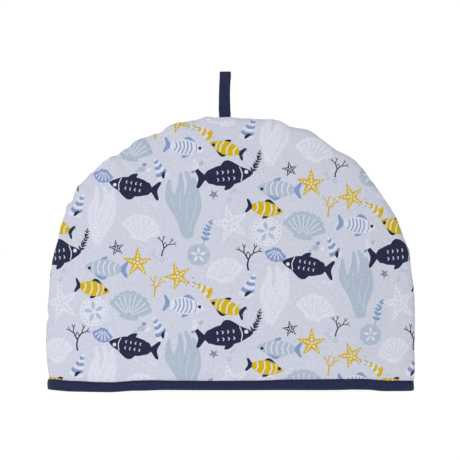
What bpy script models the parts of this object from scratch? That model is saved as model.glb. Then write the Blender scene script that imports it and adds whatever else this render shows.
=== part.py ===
"""Padded cloth tea cosy, standing on its bound hem.

Two dome-shaped padded panels are sewn together round the dome and turned, so
each rolls over into a groove along the seam.  A folded tape binds the open
hem, and a loop of the same tape is caught in the seam at the top.  The cosy
stands open, so its hem is a pointed oval and the panels lean together upwards.

Frame: metres, +Z up, +X to the right of the front panel, the front faces -Y.
The origin is the middle of the hem, on the surface that the cosy stands on.
"""
import math
from collections import namedtuple

import bmesh
import bpy

MM = 0.001

# ------------------------------------------------------------- outline, seen from the front
CENTRE_X = -2.7 * MM          # the top of the dome lies a little left of the middle of the hem
HALF_LEFT = 173.1 * MM        # half width to the left of CENTRE_X, before the seam draws it in
HALF_RIGHT = 178.6 * MM       # and to the right
WIDEST_Z = 46.0 * MM          # height of the widest level
DOME_TOP = 260.6 * MM         # top of the dome, before the seam draws it in
SIDE_POWER = 1.97             # |x/half|^SIDE_POWER + (z/rise)^TOP_POWER = 1
TOP_POWER = 2.84
HEM_DRAW = 3.4 * MM           # how far the binding draws the sides in at the hem

# ------------------------------------------------------------- depth and thickness
HALF_DEPTH = 44.0 * MM        # half the opening at the hem, inside
DEPTH_POWER = 0.80            # lens shape of the opening: (1 - r^2) ^ DEPTH_POWER
PADDING = 6.4 * MM            # cotton, wadding and cotton in the middle of a panel
HEM_SQUEEZE = 3.2 * MM        # what the stitched binding takes off that thickness
SQUEEZE_FROM = 9.0 * MM       # the binding squeezes the padding fully below this height
SQUEEZE_TO = 27.0 * MM        # and not at all above this one
ROLL = 7.0 * MM               # the padding rolls over to the seam within this distance
SEAM_WALL = 8.0 * MM          # inner faces meet this far inside the outline
GROOVE = 3.0 * MM             # depth of the groove along the seam
GROOVE_WIDTH = 2.3 * MM
SEAM_GAP = 0.15 * MM          # each panel stays this far from the seam plane

# ------------------------------------------------------------- hem binding
TAPE = 1.1 * MM               # thickness of the folded binding
TAPE_HEIGHT = 9.9 * MM
TAPE_HEIGHT_INSIDE = 9.2 * MM
TAPE_CLEAR = 0.65 * MM        # cloth to binding, sideways
TAPE_UNDER = 0.35 * MM        # cloth to binding, below
PANEL_FOOT = TAPE + TAPE_UNDER
BOUND = 11.0 * MM             # the cloth is upright below this height, under the binding

# ------------------------------------------------------------- loop
LOOP_X = -5.0 * MM            # middle of the loop's tape
LOOP_TAPE = 1.2 * MM          # thickness of the folded tape
LOOP_WIDTH = 10.4 * MM        # its width in the seam
LOOP_TOP = 302.3 * MM
LOOP_FOOT = DOME_TOP - 6.2 * MM
LOOP_SLOT = 0.36 * MM         # clearance between the tape and the seam
LOOP_EASE = 2.6 * MM          # the seam closes again within this distance beside the tape

# ------------------------------------------------------------- tables
# Rings of a panel, from the seam inwards.  outer and inner are the distances
# from the seam on the two faces in mm; a row with share above 0 lies at that
# share of what is left between the last fixed ring and the panel's middle.
Ring = namedtuple("Ring", "outer inner share")
RINGS = [
    Ring(0.0, 0.0, 0.0),
    Ring(0.2, 2.4, 0.0),
    Ring(0.9, 4.6, 0.0),
    Ring(2.6, 7.2, 0.0),
    Ring(6.0, 10.6, 0.0),
    Ring(12.0, 15.4, 0.0),
    Ring(22.0, 23.0, 0.0),
    Ring(0.0, 0.0, 0.32),
    Ring(0.0, 0.0, 0.66),
    Ring(0.0, 0.0, 1.0),
]
SLIT = 0.62                   # the middle of a panel is a line this share of its width
RAYS = 54                     # even rays over the dome, from the right side to the left
ROWS_MM = [11.0, 17.0, 26.0]  # levels of a panel between the hem and the widest level
TAPE_STEP = 3                 # the binding bends at every third point of the hem's middle

# Puckers of the seam, seen from the front: where the thread draws the edge in
# or lets it bulge.  angle in degrees about the middle of the widest level,
# out in mm (minus is inwards), wide in degrees, reach is how far the crease
# runs into each panel in mm, deep its depth there in mm.
Pucker = namedtuple("Pucker", "angle out wide reach deep")
PUCKERS = [
    Pucker(27.0, 1.5, 2.6, 14.0, 0.0),
    Pucker(31.0, -1.2, 1.8, 16.0, 0.9),
    Pucker(43.5, -2.4, 5.0, 12.0, 0.5),
    Pucker(55.5, 1.6, 2.6, 14.0, 0.0),
    Pucker(61.0, -1.9, 2.4, 20.0, 1.3),
    Pucker(69.0, 4.0, 3.0, 16.0, 0.0),
    Pucker(74.2, -1.2, 1.4, 22.0, 1.6),
    Pucker(78.0, 3.4, 3.4, 14.0, 0.0),
    Pucker(89.5, -1.2, 4.0, 16.0, 0.8),
    Pucker(96.0, 2.6, 1.5, 10.0, 0.0),
    Pucker(104.0, 1.0, 2.4, 12.0, 0.0),
    Pucker(110.5, -3.2, 3.2, 22.0, 1.6),
    Pucker(120.2, -2.6, 1.5, 20.0, 1.4),
    Pucker(125.0, 1.2, 2.4, 14.0, 0.0),
    Pucker(133.0, 3.8, 4.2, 16.0, 0.0),
    Pucker(138.4, -2.8, 1.0, 18.0, 1.4),
    Pucker(140.4, 3.6, 1.9, 14.0, 0.0),
    Pucker(149.0, -1.2, 4.0, 14.0, 0.6),
    Pucker(163.0, -1.1, 6.0, 14.0, 0.0),
    Pucker(172.0, -2.4, 1.3, 14.0, 1.0),
]

# Height of the front hem above the surface in mm: it rests near both ends.
Lift = namedtuple("Lift", "x up")
FRONT_HEM = [
    Lift(-178.0, 2.4), Lift(-136.0, 0.0), Lift(-118.0, 0.0), Lift(-88.0, 1.8),
    Lift(-60.0, 2.2), Lift(40.0, 2.1), Lift(100.0, 2.0), Lift(124.0, 2.4),
    Lift(152.0, 0.0), Lift(176.0, 0.0),
]
BACK_HEM = [
    Lift(-178.0, 2.4), Lift(-136.0, 0.0), Lift(-70.0, 0.0), Lift(-24.0, 1.2),
    Lift(30.0, 0.8), Lift(74.0, 0.0), Lift(176.0, 0.0),
]

# Soft swells and hollows of a panel: middle and reach in mm, out in mm.
Swell = namedtuple("Swell", "x z reach_x reach_z out")
FRONT_SWELLS = [
    Swell(-118.0, 70.0, 46.0, 40.0, 1.2), Swell(-62.0, 150.0, 40.0, 46.0, -1.3),
    Swell(4.0, 92.0, 58.0, 50.0, 1.5), Swell(66.0, 176.0, 42.0, 34.0, -1.2),
    Swell(112.0, 96.0, 38.0, 58.0, 1.3), Swell(146.0, 118.0, 20.0, 60.0, -1.4),
    Swell(-22.0, 214.0, 60.0, 20.0, 1.1), Swell(-130.0, 150.0, 24.0, 34.0, 1.0),
    Swell(-34.0, 34.0, 70.0, 12.0, 1.0), Swell(88.0, 32.0, 52.0, 12.0, 1.0),
]
BACK_SWELLS = [
    Swell(-104.0, 110.0, 50.0, 54.0, 1.4), Swell(-30.0, 66.0, 48.0, 40.0, -1.3),
    Swell(22.0, 170.0, 60.0, 40.0, 1.3), Swell(96.0, 82.0, 46.0, 50.0, 1.2),
    Swell(128.0, 146.0, 26.0, 36.0, -1.2), Swell(-86.0, 200.0, 34.0, 22.0, -1.0),
    Swell(10.0, 32.0, 90.0, 12.0, 0.9),
]

# The loop from its foot in the seam to its top: share of the height above the
# dome, half the gap between its legs, shift to the side and width, in mm.
LoopRow = namedtuple("LoopRow", "share gap shift width")
LOOP_ROWS = [
    LoopRow(-0.20, 0.15, 0.2, 10.4),
    LoopRow(0.04, 0.15, 0.2, 10.4),
    LoopRow(0.16, 0.9, 0.0, 10.2),
    LoopRow(0.34, 2.3, -0.5, 9.9),
    LoopRow(0.54, 3.3, -0.8, 9.8),
    LoopRow(0.74, 3.7, -0.5, 9.8),
    LoopRow(0.88, 3.7, -0.2, 9.9),
]
LOOP_STEPS = 2                # steps between two rows
LOOP_BEND = 8                 # steps round the top

# Colours (linear) and roughness
CLOTH_COLOUR = (0.61, 0.62, 0.72, 1.0)
LINING_ROUGHNESS = 0.9
NAVY = (0.027, 0.031, 0.079, 1.0)


# ------------------------------------------------------------- shape rules
def smooth(low, high, value):
    t = min(1.0, max(0.0, (value - low) / (high - low)))
    return t * t * (3.0 - 2.0 * t)


def half_width(z, sign):
    """Half width of the smooth outline at height z, to the given side."""
    half = HALF_RIGHT if sign > 0 else HALF_LEFT
    if z <= WIDEST_Z:
        return half - HEM_DRAW * ((WIDEST_Z - max(z, BOUND)) / (WIDEST_Z - BOUND)) ** 2
    up = min(1.0, (z - WIDEST_Z) / (DOME_TOP - WIDEST_Z))
    return half * (1.0 - up ** TOP_POWER) ** (1.0 / SIDE_POWER)


def inside(x, z):
    return z < DOME_TOP and abs(x - CENTRE_X) < half_width(z, x - CENTRE_X)


def reach(origin_z, angle):
    """Distance from (CENTRE_X, origin_z) to the smooth outline at an angle."""
    low, high = 0.0, 0.5
    for _ in range(36):
        mid = 0.5 * (low + high)
        if inside(CENTRE_X + mid * math.cos(angle), origin_z + mid * math.sin(angle)):
            low = mid
        else:
            high = mid
    return low


def outline(angle):
    """Point of the seam line over the dome, with its puckers."""
    r = reach(WIDEST_Z, angle)
    for p in PUCKERS:
        r += p.out * MM * math.exp(-((math.degrees(angle) - p.angle) / p.wide) ** 2)
    return CENTRE_X + r * math.cos(angle), WIDEST_Z + r * math.sin(angle)


def spread(x, z, inset):
    """0 in the middle of the hem, 1 on the outline drawn in by inset."""
    dx, dz = x - CENTRE_X, max(z, 0.0)
    r = math.hypot(dx, dz)
    if r < 1e-9:
        return 0.0
    return min(1.0, r / (reach(0.0, math.atan2(dz, dx)) - inset))


def drape(x, z, inset):
    return HALF_DEPTH * (1.0 - spread(x, z, inset) ** 2) ** DEPTH_POWER


def swell(x, z, rows):
    return sum(s.out * MM * math.exp(-((x - s.x * MM) / (s.reach_x * MM)) ** 2
                                     - ((z - s.z * MM) / (s.reach_z * MM)) ** 2) for s in rows)


def crease(x, z, from_seam):
    """Depth of the creases that run in from the puckers of the seam."""
    if z < WIDEST_Z:
        return 0.0
    angle = math.degrees(math.atan2(z - WIDEST_Z, x - CENTRE_X))
    depth = 0.0
    for p in PUCKERS:
        if p.deep:
            depth += (p.deep * MM * math.exp(-((angle - p.angle) / (0.8 * p.wide)) ** 2)
                      * math.exp(-(from_seam / (p.reach * MM)) ** 2))
    return depth


def lift(x, rows):
    if x <= rows[0].x * MM:
        return rows[0].up * MM
    for a, b in zip(rows, rows[1:]):
        if x <= b.x * MM:
            return (a.up + (b.up - a.up) * smooth(a.x * MM, b.x * MM, x)) * MM
    return rows[-1].up * MM


def raised(x, z, rows):
    """Height after the hem's unevenness, which dies out above the binding."""
    return z + lift(x, rows) * (1.0 - smooth(12.0 * MM, 60.0 * MM, z))


def squeeze(z):
    return 1.0 - smooth(SQUEEZE_FROM, SQUEEZE_TO, z)


def slot(x):
    """How far the loop's two layers hold the panels off the seam plane."""
    beside = abs(x - LOOP_X) - 0.5 * LOOP_WIDTH - LOOP_SLOT - 0.3 * MM
    return (LOOP_TAPE + LOOP_SLOT) * (1.0 - smooth(0.0, LOOP_EASE, beside))


# ------------------------------------------------------------- a panel
def ray_shares():
    """Each ray's angle as a share of the half turn, closer together at the loop."""
    beside = 0.5 * LOOP_WIDTH + LOOP_SLOT + 0.7 * MM
    special = []
    for x in (beside + LOOP_EASE, beside, 0.0, -beside, -beside - LOOP_EASE):
        special.append(math.atan2(DOME_TOP - WIDEST_Z, LOOP_X + x - CENTRE_X) / math.pi)
    even = [k / RAYS for k in range(RAYS + 1)]
    clear = 0.5 / RAYS
    even = [t for t in even if t < special[0] - clear or t > special[-1] + clear]
    return sorted(even + special)


def slit_x(share):
    """Where a ray starts on the panel's middle line."""
    return CENTRE_X + SLIT * (HALF_RIGHT + (-HALF_LEFT - HALF_RIGHT) * share)


def rays():
    """(edge point, middle point) of each ray, from the right foot over the dome."""
    rows = [PANEL_FOOT] + [r * MM for r in ROWS_MM]
    out = []
    for z in rows:
        out.append(((CENTRE_X + half_width(z, 1), z), (CENTRE_X + SLIT * HALF_RIGHT, z)))
    for t in SHARES:
        out.append((outline(math.pi * t), (slit_x(t), WIDEST_Z)))
    for z in reversed(rows):
        out.append(((CENTRE_X - half_width(z, -1), z), (CENTRE_X - SLIT * HALF_LEFT, z)))
    return out


def outer_point(edge, along, distance, side, hem, swells):
    """Point of the outer face at a distance from the seam."""
    x, z = edge[0] + along[0] * distance, edge[1] + along[1] * distance
    thick = PADDING - HEM_SQUEEZE * squeeze(z)
    back = max(0.0, 1.0 - distance / ROLL)
    roll = math.sqrt(max(0.0, 1.0 - back * back))
    y = SEAM_GAP + drape(x, z, 0.0) + thick * roll
    y += swell(x, z, swells) * smooth(4.0 * MM, 30.0 * MM, distance)
    y -= crease(x, z, distance) * smooth(0.0, 3.0 * MM, distance)
    groove = GROOVE * (1.0 - squeeze(z)) * math.exp(-((y - SEAM_GAP) / GROOVE_WIDTH) ** 2)
    if z > 0.9 * DOME_TOP:
        y = max(y, SEAM_GAP + slot(x))
    x, z = x + along[0] * groove, z + along[1] * groove
    return x, side * y, raised(x, z, hem)


def inner_point(edge, along, distance, side, hem, swells):
    """Point of the inner face at a distance from where the inner faces meet."""
    d = distance + SEAM_WALL
    x, z = edge[0] + along[0] * d, edge[1] + along[1] * d
    y = drape(x, z, SEAM_WALL) if distance else 0.0
    y += 0.5 * HEM_SQUEEZE * squeeze(z) * smooth(0.0, 8.0 * MM, y)
    y += 0.6 * swell(x, z, swells) * smooth(10.0 * MM, 34.0 * MM, distance)
    return x, side * (SEAM_GAP + y), raised(x, z, hem)


def panel_rows(side, hem, swells):
    """Outer, wall and inner points of every ray."""
    outer, wall, inner = [], [], []
    for edge, middle in rays():
        dx, dz = middle[0] - edge[0], middle[1] - edge[1]
        length = math.hypot(dx, dz)
        along = (dx / length, dz / length)
        fixed = [r for r in RINGS if not r.share][-1]
        row_out, row_in = [], []
        for r in RINGS:
            if r.share:
                far = fixed.outer * MM + (length - fixed.outer * MM) * r.share
                start = fixed.inner * MM
                near = start + (length - SEAM_WALL - start) * r.share
            else:
                far, near = r.outer * MM, r.inner * MM
            row_out.append(outer_point(edge, along, far, side, hem, swells))
            row_in.append(inner_point(edge, along, near, side, hem, swells))
        x, z = edge[0] + along[0] * (SEAM_WALL - 1.3 * MM), edge[1] + along[1] * (SEAM_WALL - 1.3 * MM)
        y = SEAM_GAP + (slot(x) if z > 0.9 * DOME_TOP else 0.0)
        wall.append((x, side * y, raised(x, z, hem)))
        outer.append(row_out)
        inner.append(row_in)
    return outer, wall, inner


def skirt_grid(side, hem, swells, face):
    """Points between the two middle-line ends, for each level below the widest."""
    levels = [PANEL_FOOT] + [r * MM for r in ROWS_MM]
    grid = []
    for z in levels:
        row = []
        for share in SHARES[1:-1]:
            x = slit_x(share)
            if face == "outer":
                y = (SEAM_GAP + drape(x, z, 0.0) + PADDING - HEM_SQUEEZE * squeeze(z)
                     + swell(x, z, swells))
            else:
                y = (SEAM_GAP + drape(x, z, SEAM_WALL) + 0.5 * HEM_SQUEEZE * squeeze(z)
                     + 0.6 * swell(x, z, swells))
            row.append((x, side * y, raised(x, z, hem)))
        grid.append(row)
    return grid


def build_panel(name, side, hem, swells, material):
    bm = bmesh.new()
    outer, wall, inner = panel_rows(side, hem, swells)
    levels = 1 + len(ROWS_MM)
    count = len(outer)

    def face_verts(rows, grid):
        ring = [[bm.verts.new(p) for p in row] for row in rows]
        mid = [[bm.verts.new(p) for p in row] for row in grid]
        return ring, mid

    def skin(ring, mid):
        for a, b in zip(ring, ring[1:]):
            for j in range(len(RINGS) - 1):
                bm.faces.new((a[j], a[j + 1], b[j + 1], b[j]))
        # level k of the skirt runs from the right ray k to the left ray count-1-k
        lines = []
        for k in range(levels):
            lines.append([ring[k][-1]] + mid[k] + [ring[count - 1 - k][-1]])
        lines.append([ring[levels + k][-1] for k in range(len(SHARES))])
        for low, high in zip(lines, lines[1:]):
            for i in range(len(SHARES) - 1):
                bm.faces.new((low[i], low[i + 1], high[i + 1], high[i]))
        return lines[0]

    ring_out, mid_out = face_verts(outer, skirt_grid(side, hem, swells, "outer"))
    ring_in, mid_in = face_verts(inner, skirt_grid(side, hem, swells, "inner"))
    wall_verts = [bm.verts.new(p) for p in wall]
    hem_out = skin(ring_out, mid_out)
    hem_in = skin(ring_in, mid_in)
    # the seam, from the groove to where the inner faces meet
    for i in range(count - 1):
        bm.faces.new((ring_out[i][0], ring_out[i + 1][0], wall_verts[i + 1], wall_verts[i]))
        bm.faces.new((wall_verts[i], wall_verts[i + 1], ring_in[i + 1][0], ring_in[i][0]))
    # the cut edge at the hem
    for end in (0, count - 1):
        for j in range(len(RINGS) - 1):
            bm.faces.new((ring_out[end][j], ring_out[end][j + 1], ring_in[end][j + 1], ring_in[end][j]))
        bm.faces.new((ring_out[end][0], wall_verts[end], ring_in[end][0]))
    for i in range(len(SHARES) - 1):
        bm.faces.new((hem_out[i], hem_out[i + 1], hem_in[i + 1], hem_in[i]))
    return finish(name, bm, material)


# ------------------------------------------------------------- the hem binding
def hem_loop(face):
    """Closed line round a face of both panels at the hem, with each point's hem table."""
    points = []
    for side, hem, swells in ((-1, FRONT_HEM, FRONT_SWELLS), (1, BACK_HEM, BACK_SWELLS)):
        outer, _, inner = panel_rows(side, hem, swells)
        rows = outer if face == "outer" else inner
        line = rows[0][1:]
        line += skirt_grid(side, hem, swells, face)[0][TAPE_STEP - 1:1 - TAPE_STEP:TAPE_STEP]
        line += rows[-1][:0:-1]
        line = [(p[0], p[1], hem) for p in line]
        if side > 0:
            line.reverse()
        points += line
    return points


def moved_out(points, distance):
    """The closed line moved sideways by a distance, outwards when positive."""
    count = len(points)
    out = []
    for i in range(count):
        a, b, c = points[i - 1], points[i], points[(i + 1) % count]
        n1 = (a[1] - b[1], b[0] - a[0])
        n2 = (b[1] - c[1], c[0] - b[0])
        l1, l2 = math.hypot(*n1), math.hypot(*n2)
        nx, ny = n1[0] / l1 + n2[0] / l2, n1[1] / l1 + n2[1] / l2
        size = math.hypot(nx, ny)
        nx, ny = nx / size, ny / size
        stretch = 1.0 / max(0.6, (nx * n1[0] + ny * n1[1]) / l1)
        out.append((b[0] + nx * distance * stretch, b[1] + ny * distance * stretch, b[2]))
    return out


def build_binding(name, material):
    outer, inner = hem_loop("outer"), hem_loop("inner")
    area = sum(a[0] * b[1] - b[0] * a[1] for a, b in zip(outer, outer[1:] + outer[:1]))
    sign = -1.0 if area > 0 else 1.0
    count = len(outer)
    Level = namedtuple("Level", "line out height")
    section = [
        Level(outer, TAPE_CLEAR, TAPE_HEIGHT),
        Level(outer, TAPE_CLEAR + 0.7 * TAPE, TAPE_HEIGHT + 0.1 * MM),
        Level(outer, TAPE_CLEAR + TAPE, TAPE_HEIGHT - 0.8 * MM),
        Level(outer, TAPE_CLEAR + TAPE, 0.9 * MM),
        Level(outer, TAPE_CLEAR + 0.45 * TAPE, 0.0),
        Level(inner, -(TAPE_CLEAR + 0.45 * TAPE), 0.0),
        Level(inner, -(TAPE_CLEAR + TAPE), 0.9 * MM),
        Level(inner, -(TAPE_CLEAR + TAPE), TAPE_HEIGHT_INSIDE),
        Level(inner, -TAPE_CLEAR, TAPE_HEIGHT_INSIDE),
        Level(inner, -TAPE_CLEAR, TAPE),
        Level(outer, TAPE_CLEAR, TAPE),
    ]
    bm = bmesh.new()
    rings = []
    for level in section:
        line = moved_out(level.line, sign * level.out)
        rings.append([bm.verts.new((x, y, lift(x, hem) + level.height)) for x, y, hem in line])
    for a, b in zip(rings, rings[1:] + rings[:1]):
        for i in range(count):
            j = (i + 1) % count
            bm.faces.new((a[i], a[j], b[j], b[i]))
    return finish(name, bm, material)


# ------------------------------------------------------------- the loop
def loop_rows():
    """Rows between the table's, on a smooth curve."""
    out = []
    for k in range(len(LOOP_ROWS) - 1):
        p0 = LOOP_ROWS[max(0, k - 1)]
        p1, p2 = LOOP_ROWS[k], LOOP_ROWS[k + 1]
        p3 = LOOP_ROWS[min(len(LOOP_ROWS) - 1, k + 2)]
        for s in range(LOOP_STEPS):
            t = s / LOOP_STEPS
            row = []
            for a, b, c, d in zip(p0, p1, p2, p3):
                row.append(0.5 * (2 * b + (c - a) * t + (2 * a - 5 * b + 4 * c - d) * t * t
                                  + (3 * b - a - 3 * c + d) * t ** 3))
            out.append(LoopRow(row[0], max(0.15, row[1]), row[2], row[3]))
    out.append(LOOP_ROWS[-1])
    return out


def build_loop(name, material):
    """A flat tape, 1.2 mm thick, up from the seam, over and down again."""
    rows = loop_rows()
    last = rows[-1]
    bend = last.gap * MM + 0.5 * LOOP_TAPE
    top_centre = LOOP_TOP - bend - 0.5 * LOOP_TAPE
    rise = LOOP_TOP - DOME_TOP
    path = []                       # (y, z, tangent angle, shift, width)
    line = []
    for row in rows:
        z = DOME_TOP + rise * row.share
        if row.share < 0:
            z = max(z, LOOP_FOOT)
        line.append((-(row.gap * MM + 0.5 * LOOP_TAPE), min(z, top_centre), row.shift * MM, row.width * MM))
    for k in range(1, LOOP_BEND):
        a = math.pi * k / LOOP_BEND
        line.append((-bend * math.cos(a), top_centre + bend * math.sin(a),
                     last.shift * MM * (1 - math.sin(a)), last.width * MM + 0.5 * MM * math.sin(a)))
    line += [(-y, z, shift, width) for y, z, shift, width in reversed(line[:len(rows)])]
    clean = [line[0]]
    for p in line[1:]:
        if math.hypot(p[0] - clean[-1][0], p[1] - clean[-1][1]) > 0.5 * MM:
            clean.append(p)
    path = clean
    # section of the folded tape: across as a share of half the width, out as a share of half the thickness
    section = [(-1.0, -0.5), (-0.9, -1.0), (0.9, -1.0), (1.0, -0.5),
               (1.0, 0.5), (0.9, 1.0), (-0.9, 1.0), (-1.0, 0.5)]
    bm = bmesh.new()
    rings = []
    for i, (y, z, shift, width) in enumerate(path):
        a = path[max(0, i - 1)]
        b = path[min(len(path) - 1, i + 1)]
        ty, tz = b[0] - a[0], b[1] - a[1]
        size = math.hypot(ty, tz)
        ny, nz = -tz / size, ty / size
        ring = []
        for across, out in section:
            o = 0.5 * LOOP_TAPE * out
            ring.append(bm.verts.new((LOOP_X + shift + across * 0.5 * width, y + ny * o, z + nz * o)))
        rings.append(ring)
    n = len(section)
    for a, b in zip(rings, rings[1:]):
        for i in range(n):
            bm.faces.new((a[i], a[(i + 1) % n], b[(i + 1) % n], b[i]))
    bm.faces.new(list(reversed(rings[0])))
    bm.faces.new(rings[-1])
    return finish(name, bm, material)


SHARES = ray_shares()


# ------------------------------------------------------------- objects
def finish(name, bm, material):
    bmesh.ops.triangulate(bm, faces=bm.faces[:], quad_method="SHORT_EDGE")
    bmesh.ops.recalc_face_normals(bm, faces=bm.faces[:])
    mesh = bpy.data.meshes.new(name)
    bm.to_mesh(mesh)
    bm.free()
    mesh.shade_smooth()
    mesh.set_sharp_from_angle(angle=math.radians(50))
    mesh.materials.append(material)
    obj = bpy.data.objects.new(name, mesh)
    bpy.context.scene.collection.objects.link(obj)
    return obj


def make_material(name, colour, roughness):
    material = bpy.data.materials.new(name)
    material.use_nodes = True
    shader = material.node_tree.nodes["Principled BSDF"]
    shader.inputs["Base Color"].default_value = colour
    shader.inputs["Roughness"].default_value = roughness
    shader.inputs["Metallic"].default_value = 0.0
    return material


def main():
    for obj in list(bpy.data.objects):
        bpy.data.objects.remove(obj, do_unlink=True)
    root = bpy.data.objects.new("cosy", None)
    bpy.context.scene.collection.objects.link(root)
    pieces = [
        build_panel("front_panel", -1, FRONT_HEM, FRONT_SWELLS,
                    make_material("front cloth", CLOTH_COLOUR, LINING_ROUGHNESS)),
        build_panel("back_panel", 1, BACK_HEM, BACK_SWELLS,
                    make_material("back cloth", CLOTH_COLOUR, LINING_ROUGHNESS)),
        build_binding("hem_binding", make_material("hem tape", NAVY, 0.85)),
        build_loop("hanging_loop", make_material("loop tape", NAVY, 0.85)),
    ]
    for piece in pieces:
        piece.parent = root


main()
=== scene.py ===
"""Padded cloth tea cosy: how it looks, on the part's own frame.

Both panels are closed skins of printed cotton over wadding, worked out in the
cloth's own flat coordinates, so the print, the weave and the gathers follow
the cloth.  The hem binding, the hanging loop and their stitches are pieces of
their own.  Lengths are in mm until a mesh is made.
"""
import math
from collections import namedtuple

import bpy
import numpy as np
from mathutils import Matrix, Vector, geometry, kdtree


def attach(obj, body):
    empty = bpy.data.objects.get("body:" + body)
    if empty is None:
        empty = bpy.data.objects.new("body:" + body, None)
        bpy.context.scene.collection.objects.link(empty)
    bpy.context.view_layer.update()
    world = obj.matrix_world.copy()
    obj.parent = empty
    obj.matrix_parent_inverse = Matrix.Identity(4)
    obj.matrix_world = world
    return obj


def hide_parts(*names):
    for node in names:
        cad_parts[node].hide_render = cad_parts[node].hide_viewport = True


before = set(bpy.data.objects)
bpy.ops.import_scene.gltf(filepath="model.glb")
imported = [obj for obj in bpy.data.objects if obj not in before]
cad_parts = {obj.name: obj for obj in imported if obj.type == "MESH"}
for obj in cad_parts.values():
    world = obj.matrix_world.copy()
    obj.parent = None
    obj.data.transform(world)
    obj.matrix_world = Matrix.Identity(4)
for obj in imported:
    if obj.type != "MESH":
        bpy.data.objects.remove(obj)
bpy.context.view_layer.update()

# ================================================================ sizes, as in the frame
CENTRE_X = -2.7               # the top of the dome lies a little left of the middle of the hem
HALF_LEFT = 173.1             # half width to the left of CENTRE_X, before the seam draws it in
HALF_RIGHT = 178.6            # and to the right
WIDEST_Z = 46.0
DOME_TOP = 260.6
SIDE_POWER = 1.97
TOP_POWER = 2.84
HEM_DRAW = 3.4                # how far the binding draws the sides in at the hem
HALF_DEPTH = 44.0             # half the opening at the hem, inside
DEPTH_POWER = 0.80
PADDING = 6.4                 # cotton, wadding and cotton in the middle of a panel
HEM_SQUEEZE = 3.2             # what the stitched binding takes off that thickness
SQUEEZE_FROM, SQUEEZE_TO = 9.0, 27.0
ROLL = 7.0                    # the padding rolls over to the seam within this distance
SEAM_WALL = 8.0               # inner faces meet this far inside the outline
GROOVE, GROOVE_WIDTH = 3.0, 2.3
SEAM_GAP = 0.04
PANEL_FOOT = 1.45
BOUND = 11.0
LOOP_X = -5.0
LOOP_TAPE = 1.2
LOOP_WIDTH = 10.4
LOOP_TOP = 302.8
LOOP_FOOT = DOME_TOP - 6.2
LOOP_SLOT = 0.36
LOOP_EASE = 2.6

# ================================================================ tables, as in the frame but for small trims
Pucker = namedtuple("Pucker", "angle out wide reach deep")
PUCKERS = [
    Pucker(-9.5, 2.0, 3.6, 12.0, 0.0), Pucker(-1.6, -0.8, 2.2, 12.0, 0.0), Pucker(2.6, -0.5, 1.5, 12.0, 0.0),
    Pucker(13.0, 0.5, 6.0, 12.0, 0.0),
    Pucker(26.5, 1.7, 2.8, 14.0, 0.0), Pucker(31.0, -0.2, 1.8, 16.0, 0.5),
    Pucker(43.5, -1.8, 5.0, 12.0, 0.5), Pucker(48.8, -0.9, 2.0, 12.0, 0.3), Pucker(55.0, 1.3, 2.6, 14.0, 0.0),
    Pucker(61.0, -1.5, 2.4, 20.0, 1.3), Pucker(69.0, 3.1, 3.0, 16.0, 0.0),
    Pucker(74.2, -0.4, 1.4, 22.0, 1.6), Pucker(77.7, 3.1, 3.4, 14.0, 0.0),
    Pucker(86.6, -0.5, 1.6, 14.0, 0.0), Pucker(90.5, 0.4, 3.5, 16.0, 0.8), Pucker(95.3, 2.1, 1.4, 10.0, 0.0),
    Pucker(103.3, 1.3, 2.2, 12.0, 0.0), Pucker(107.8, -2.2, 1.4, 16.0, 0.6),
    Pucker(110.5, -2.1, 3.2, 22.0, 1.6), Pucker(117.2, -2.8, 1.5, 20.0, 1.0),
    Pucker(120.2, -2.8, 1.5, 20.0, 1.4), Pucker(125.0, 0.8, 2.4, 14.0, 0.0),
    Pucker(131.6, -1.3, 1.6, 12.0, 0.4), Pucker(133.0, 3.8, 4.2, 16.0, 0.0),
    Pucker(137.6, -1.4, 0.9, 18.0, 1.4), Pucker(139.6, 2.7, 1.8, 14.0, 0.0),
    Pucker(143.5, 0.6, 1.6, 12.0, 0.0),
    Pucker(150.0, -1.6, 3.6, 14.0, 0.6), Pucker(156.0, -0.7, 3.0, 14.0, 0.4),
    Pucker(165.0, -1.6, 7.0, 14.0, 0.0), Pucker(172.0, -1.8, 1.3, 14.0, 1.0),
]
Lift = namedtuple("Lift", "x up")
FRONT_HEM = [
    Lift(-178.0, 1.3), Lift(-150.0, 0.0), Lift(-116.0, 0.0), Lift(-88.0, 1.7),
    Lift(-60.0, 2.6), Lift(40.0, 2.6), Lift(100.0, 2.2), Lift(124.0, 2.5),
    Lift(152.0, 0.4), Lift(176.0, 0.0),
]
BACK_HEM = [
    Lift(-178.0, 1.3), Lift(-142.0, 0.0), Lift(-70.0, 0.0), Lift(-24.0, 1.2),
    Lift(30.0, 0.8), Lift(74.0, 0.0), Lift(176.0, 0.0),
]
Swell = namedtuple("Swell", "x z reach_x reach_z out")
FRONT_SWELLS = [
    Swell(-118.0, 70.0, 46.0, 40.0, 1.2), Swell(-62.0, 150.0, 40.0, 46.0, -1.3),
    Swell(4.0, 92.0, 58.0, 50.0, 1.5), Swell(66.0, 176.0, 42.0, 34.0, -1.2),
    Swell(112.0, 96.0, 38.0, 58.0, 1.3), Swell(146.0, 118.0, 20.0, 60.0, -1.4),
    Swell(-22.0, 214.0, 60.0, 20.0, 1.1), Swell(-130.0, 150.0, 24.0, 34.0, 1.0),
    Swell(-34.0, 34.0, 70.0, 12.0, 1.0), Swell(88.0, 32.0, 52.0, 12.0, 1.0),
]
BACK_SWELLS = [
    Swell(-104.0, 110.0, 50.0, 54.0, 1.4), Swell(-30.0, 66.0, 48.0, 40.0, -1.3),
    Swell(22.0, 170.0, 60.0, 40.0, 1.3), Swell(96.0, 82.0, 46.0, 50.0, 1.2),
    Swell(128.0, 146.0, 26.0, 36.0, -1.2), Swell(-86.0, 200.0, 34.0, 22.0, -1.0),
    Swell(10.0, 32.0, 90.0, 12.0, 0.9),
]
LoopRow = namedtuple("LoopRow", "share gap shift width")
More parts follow.
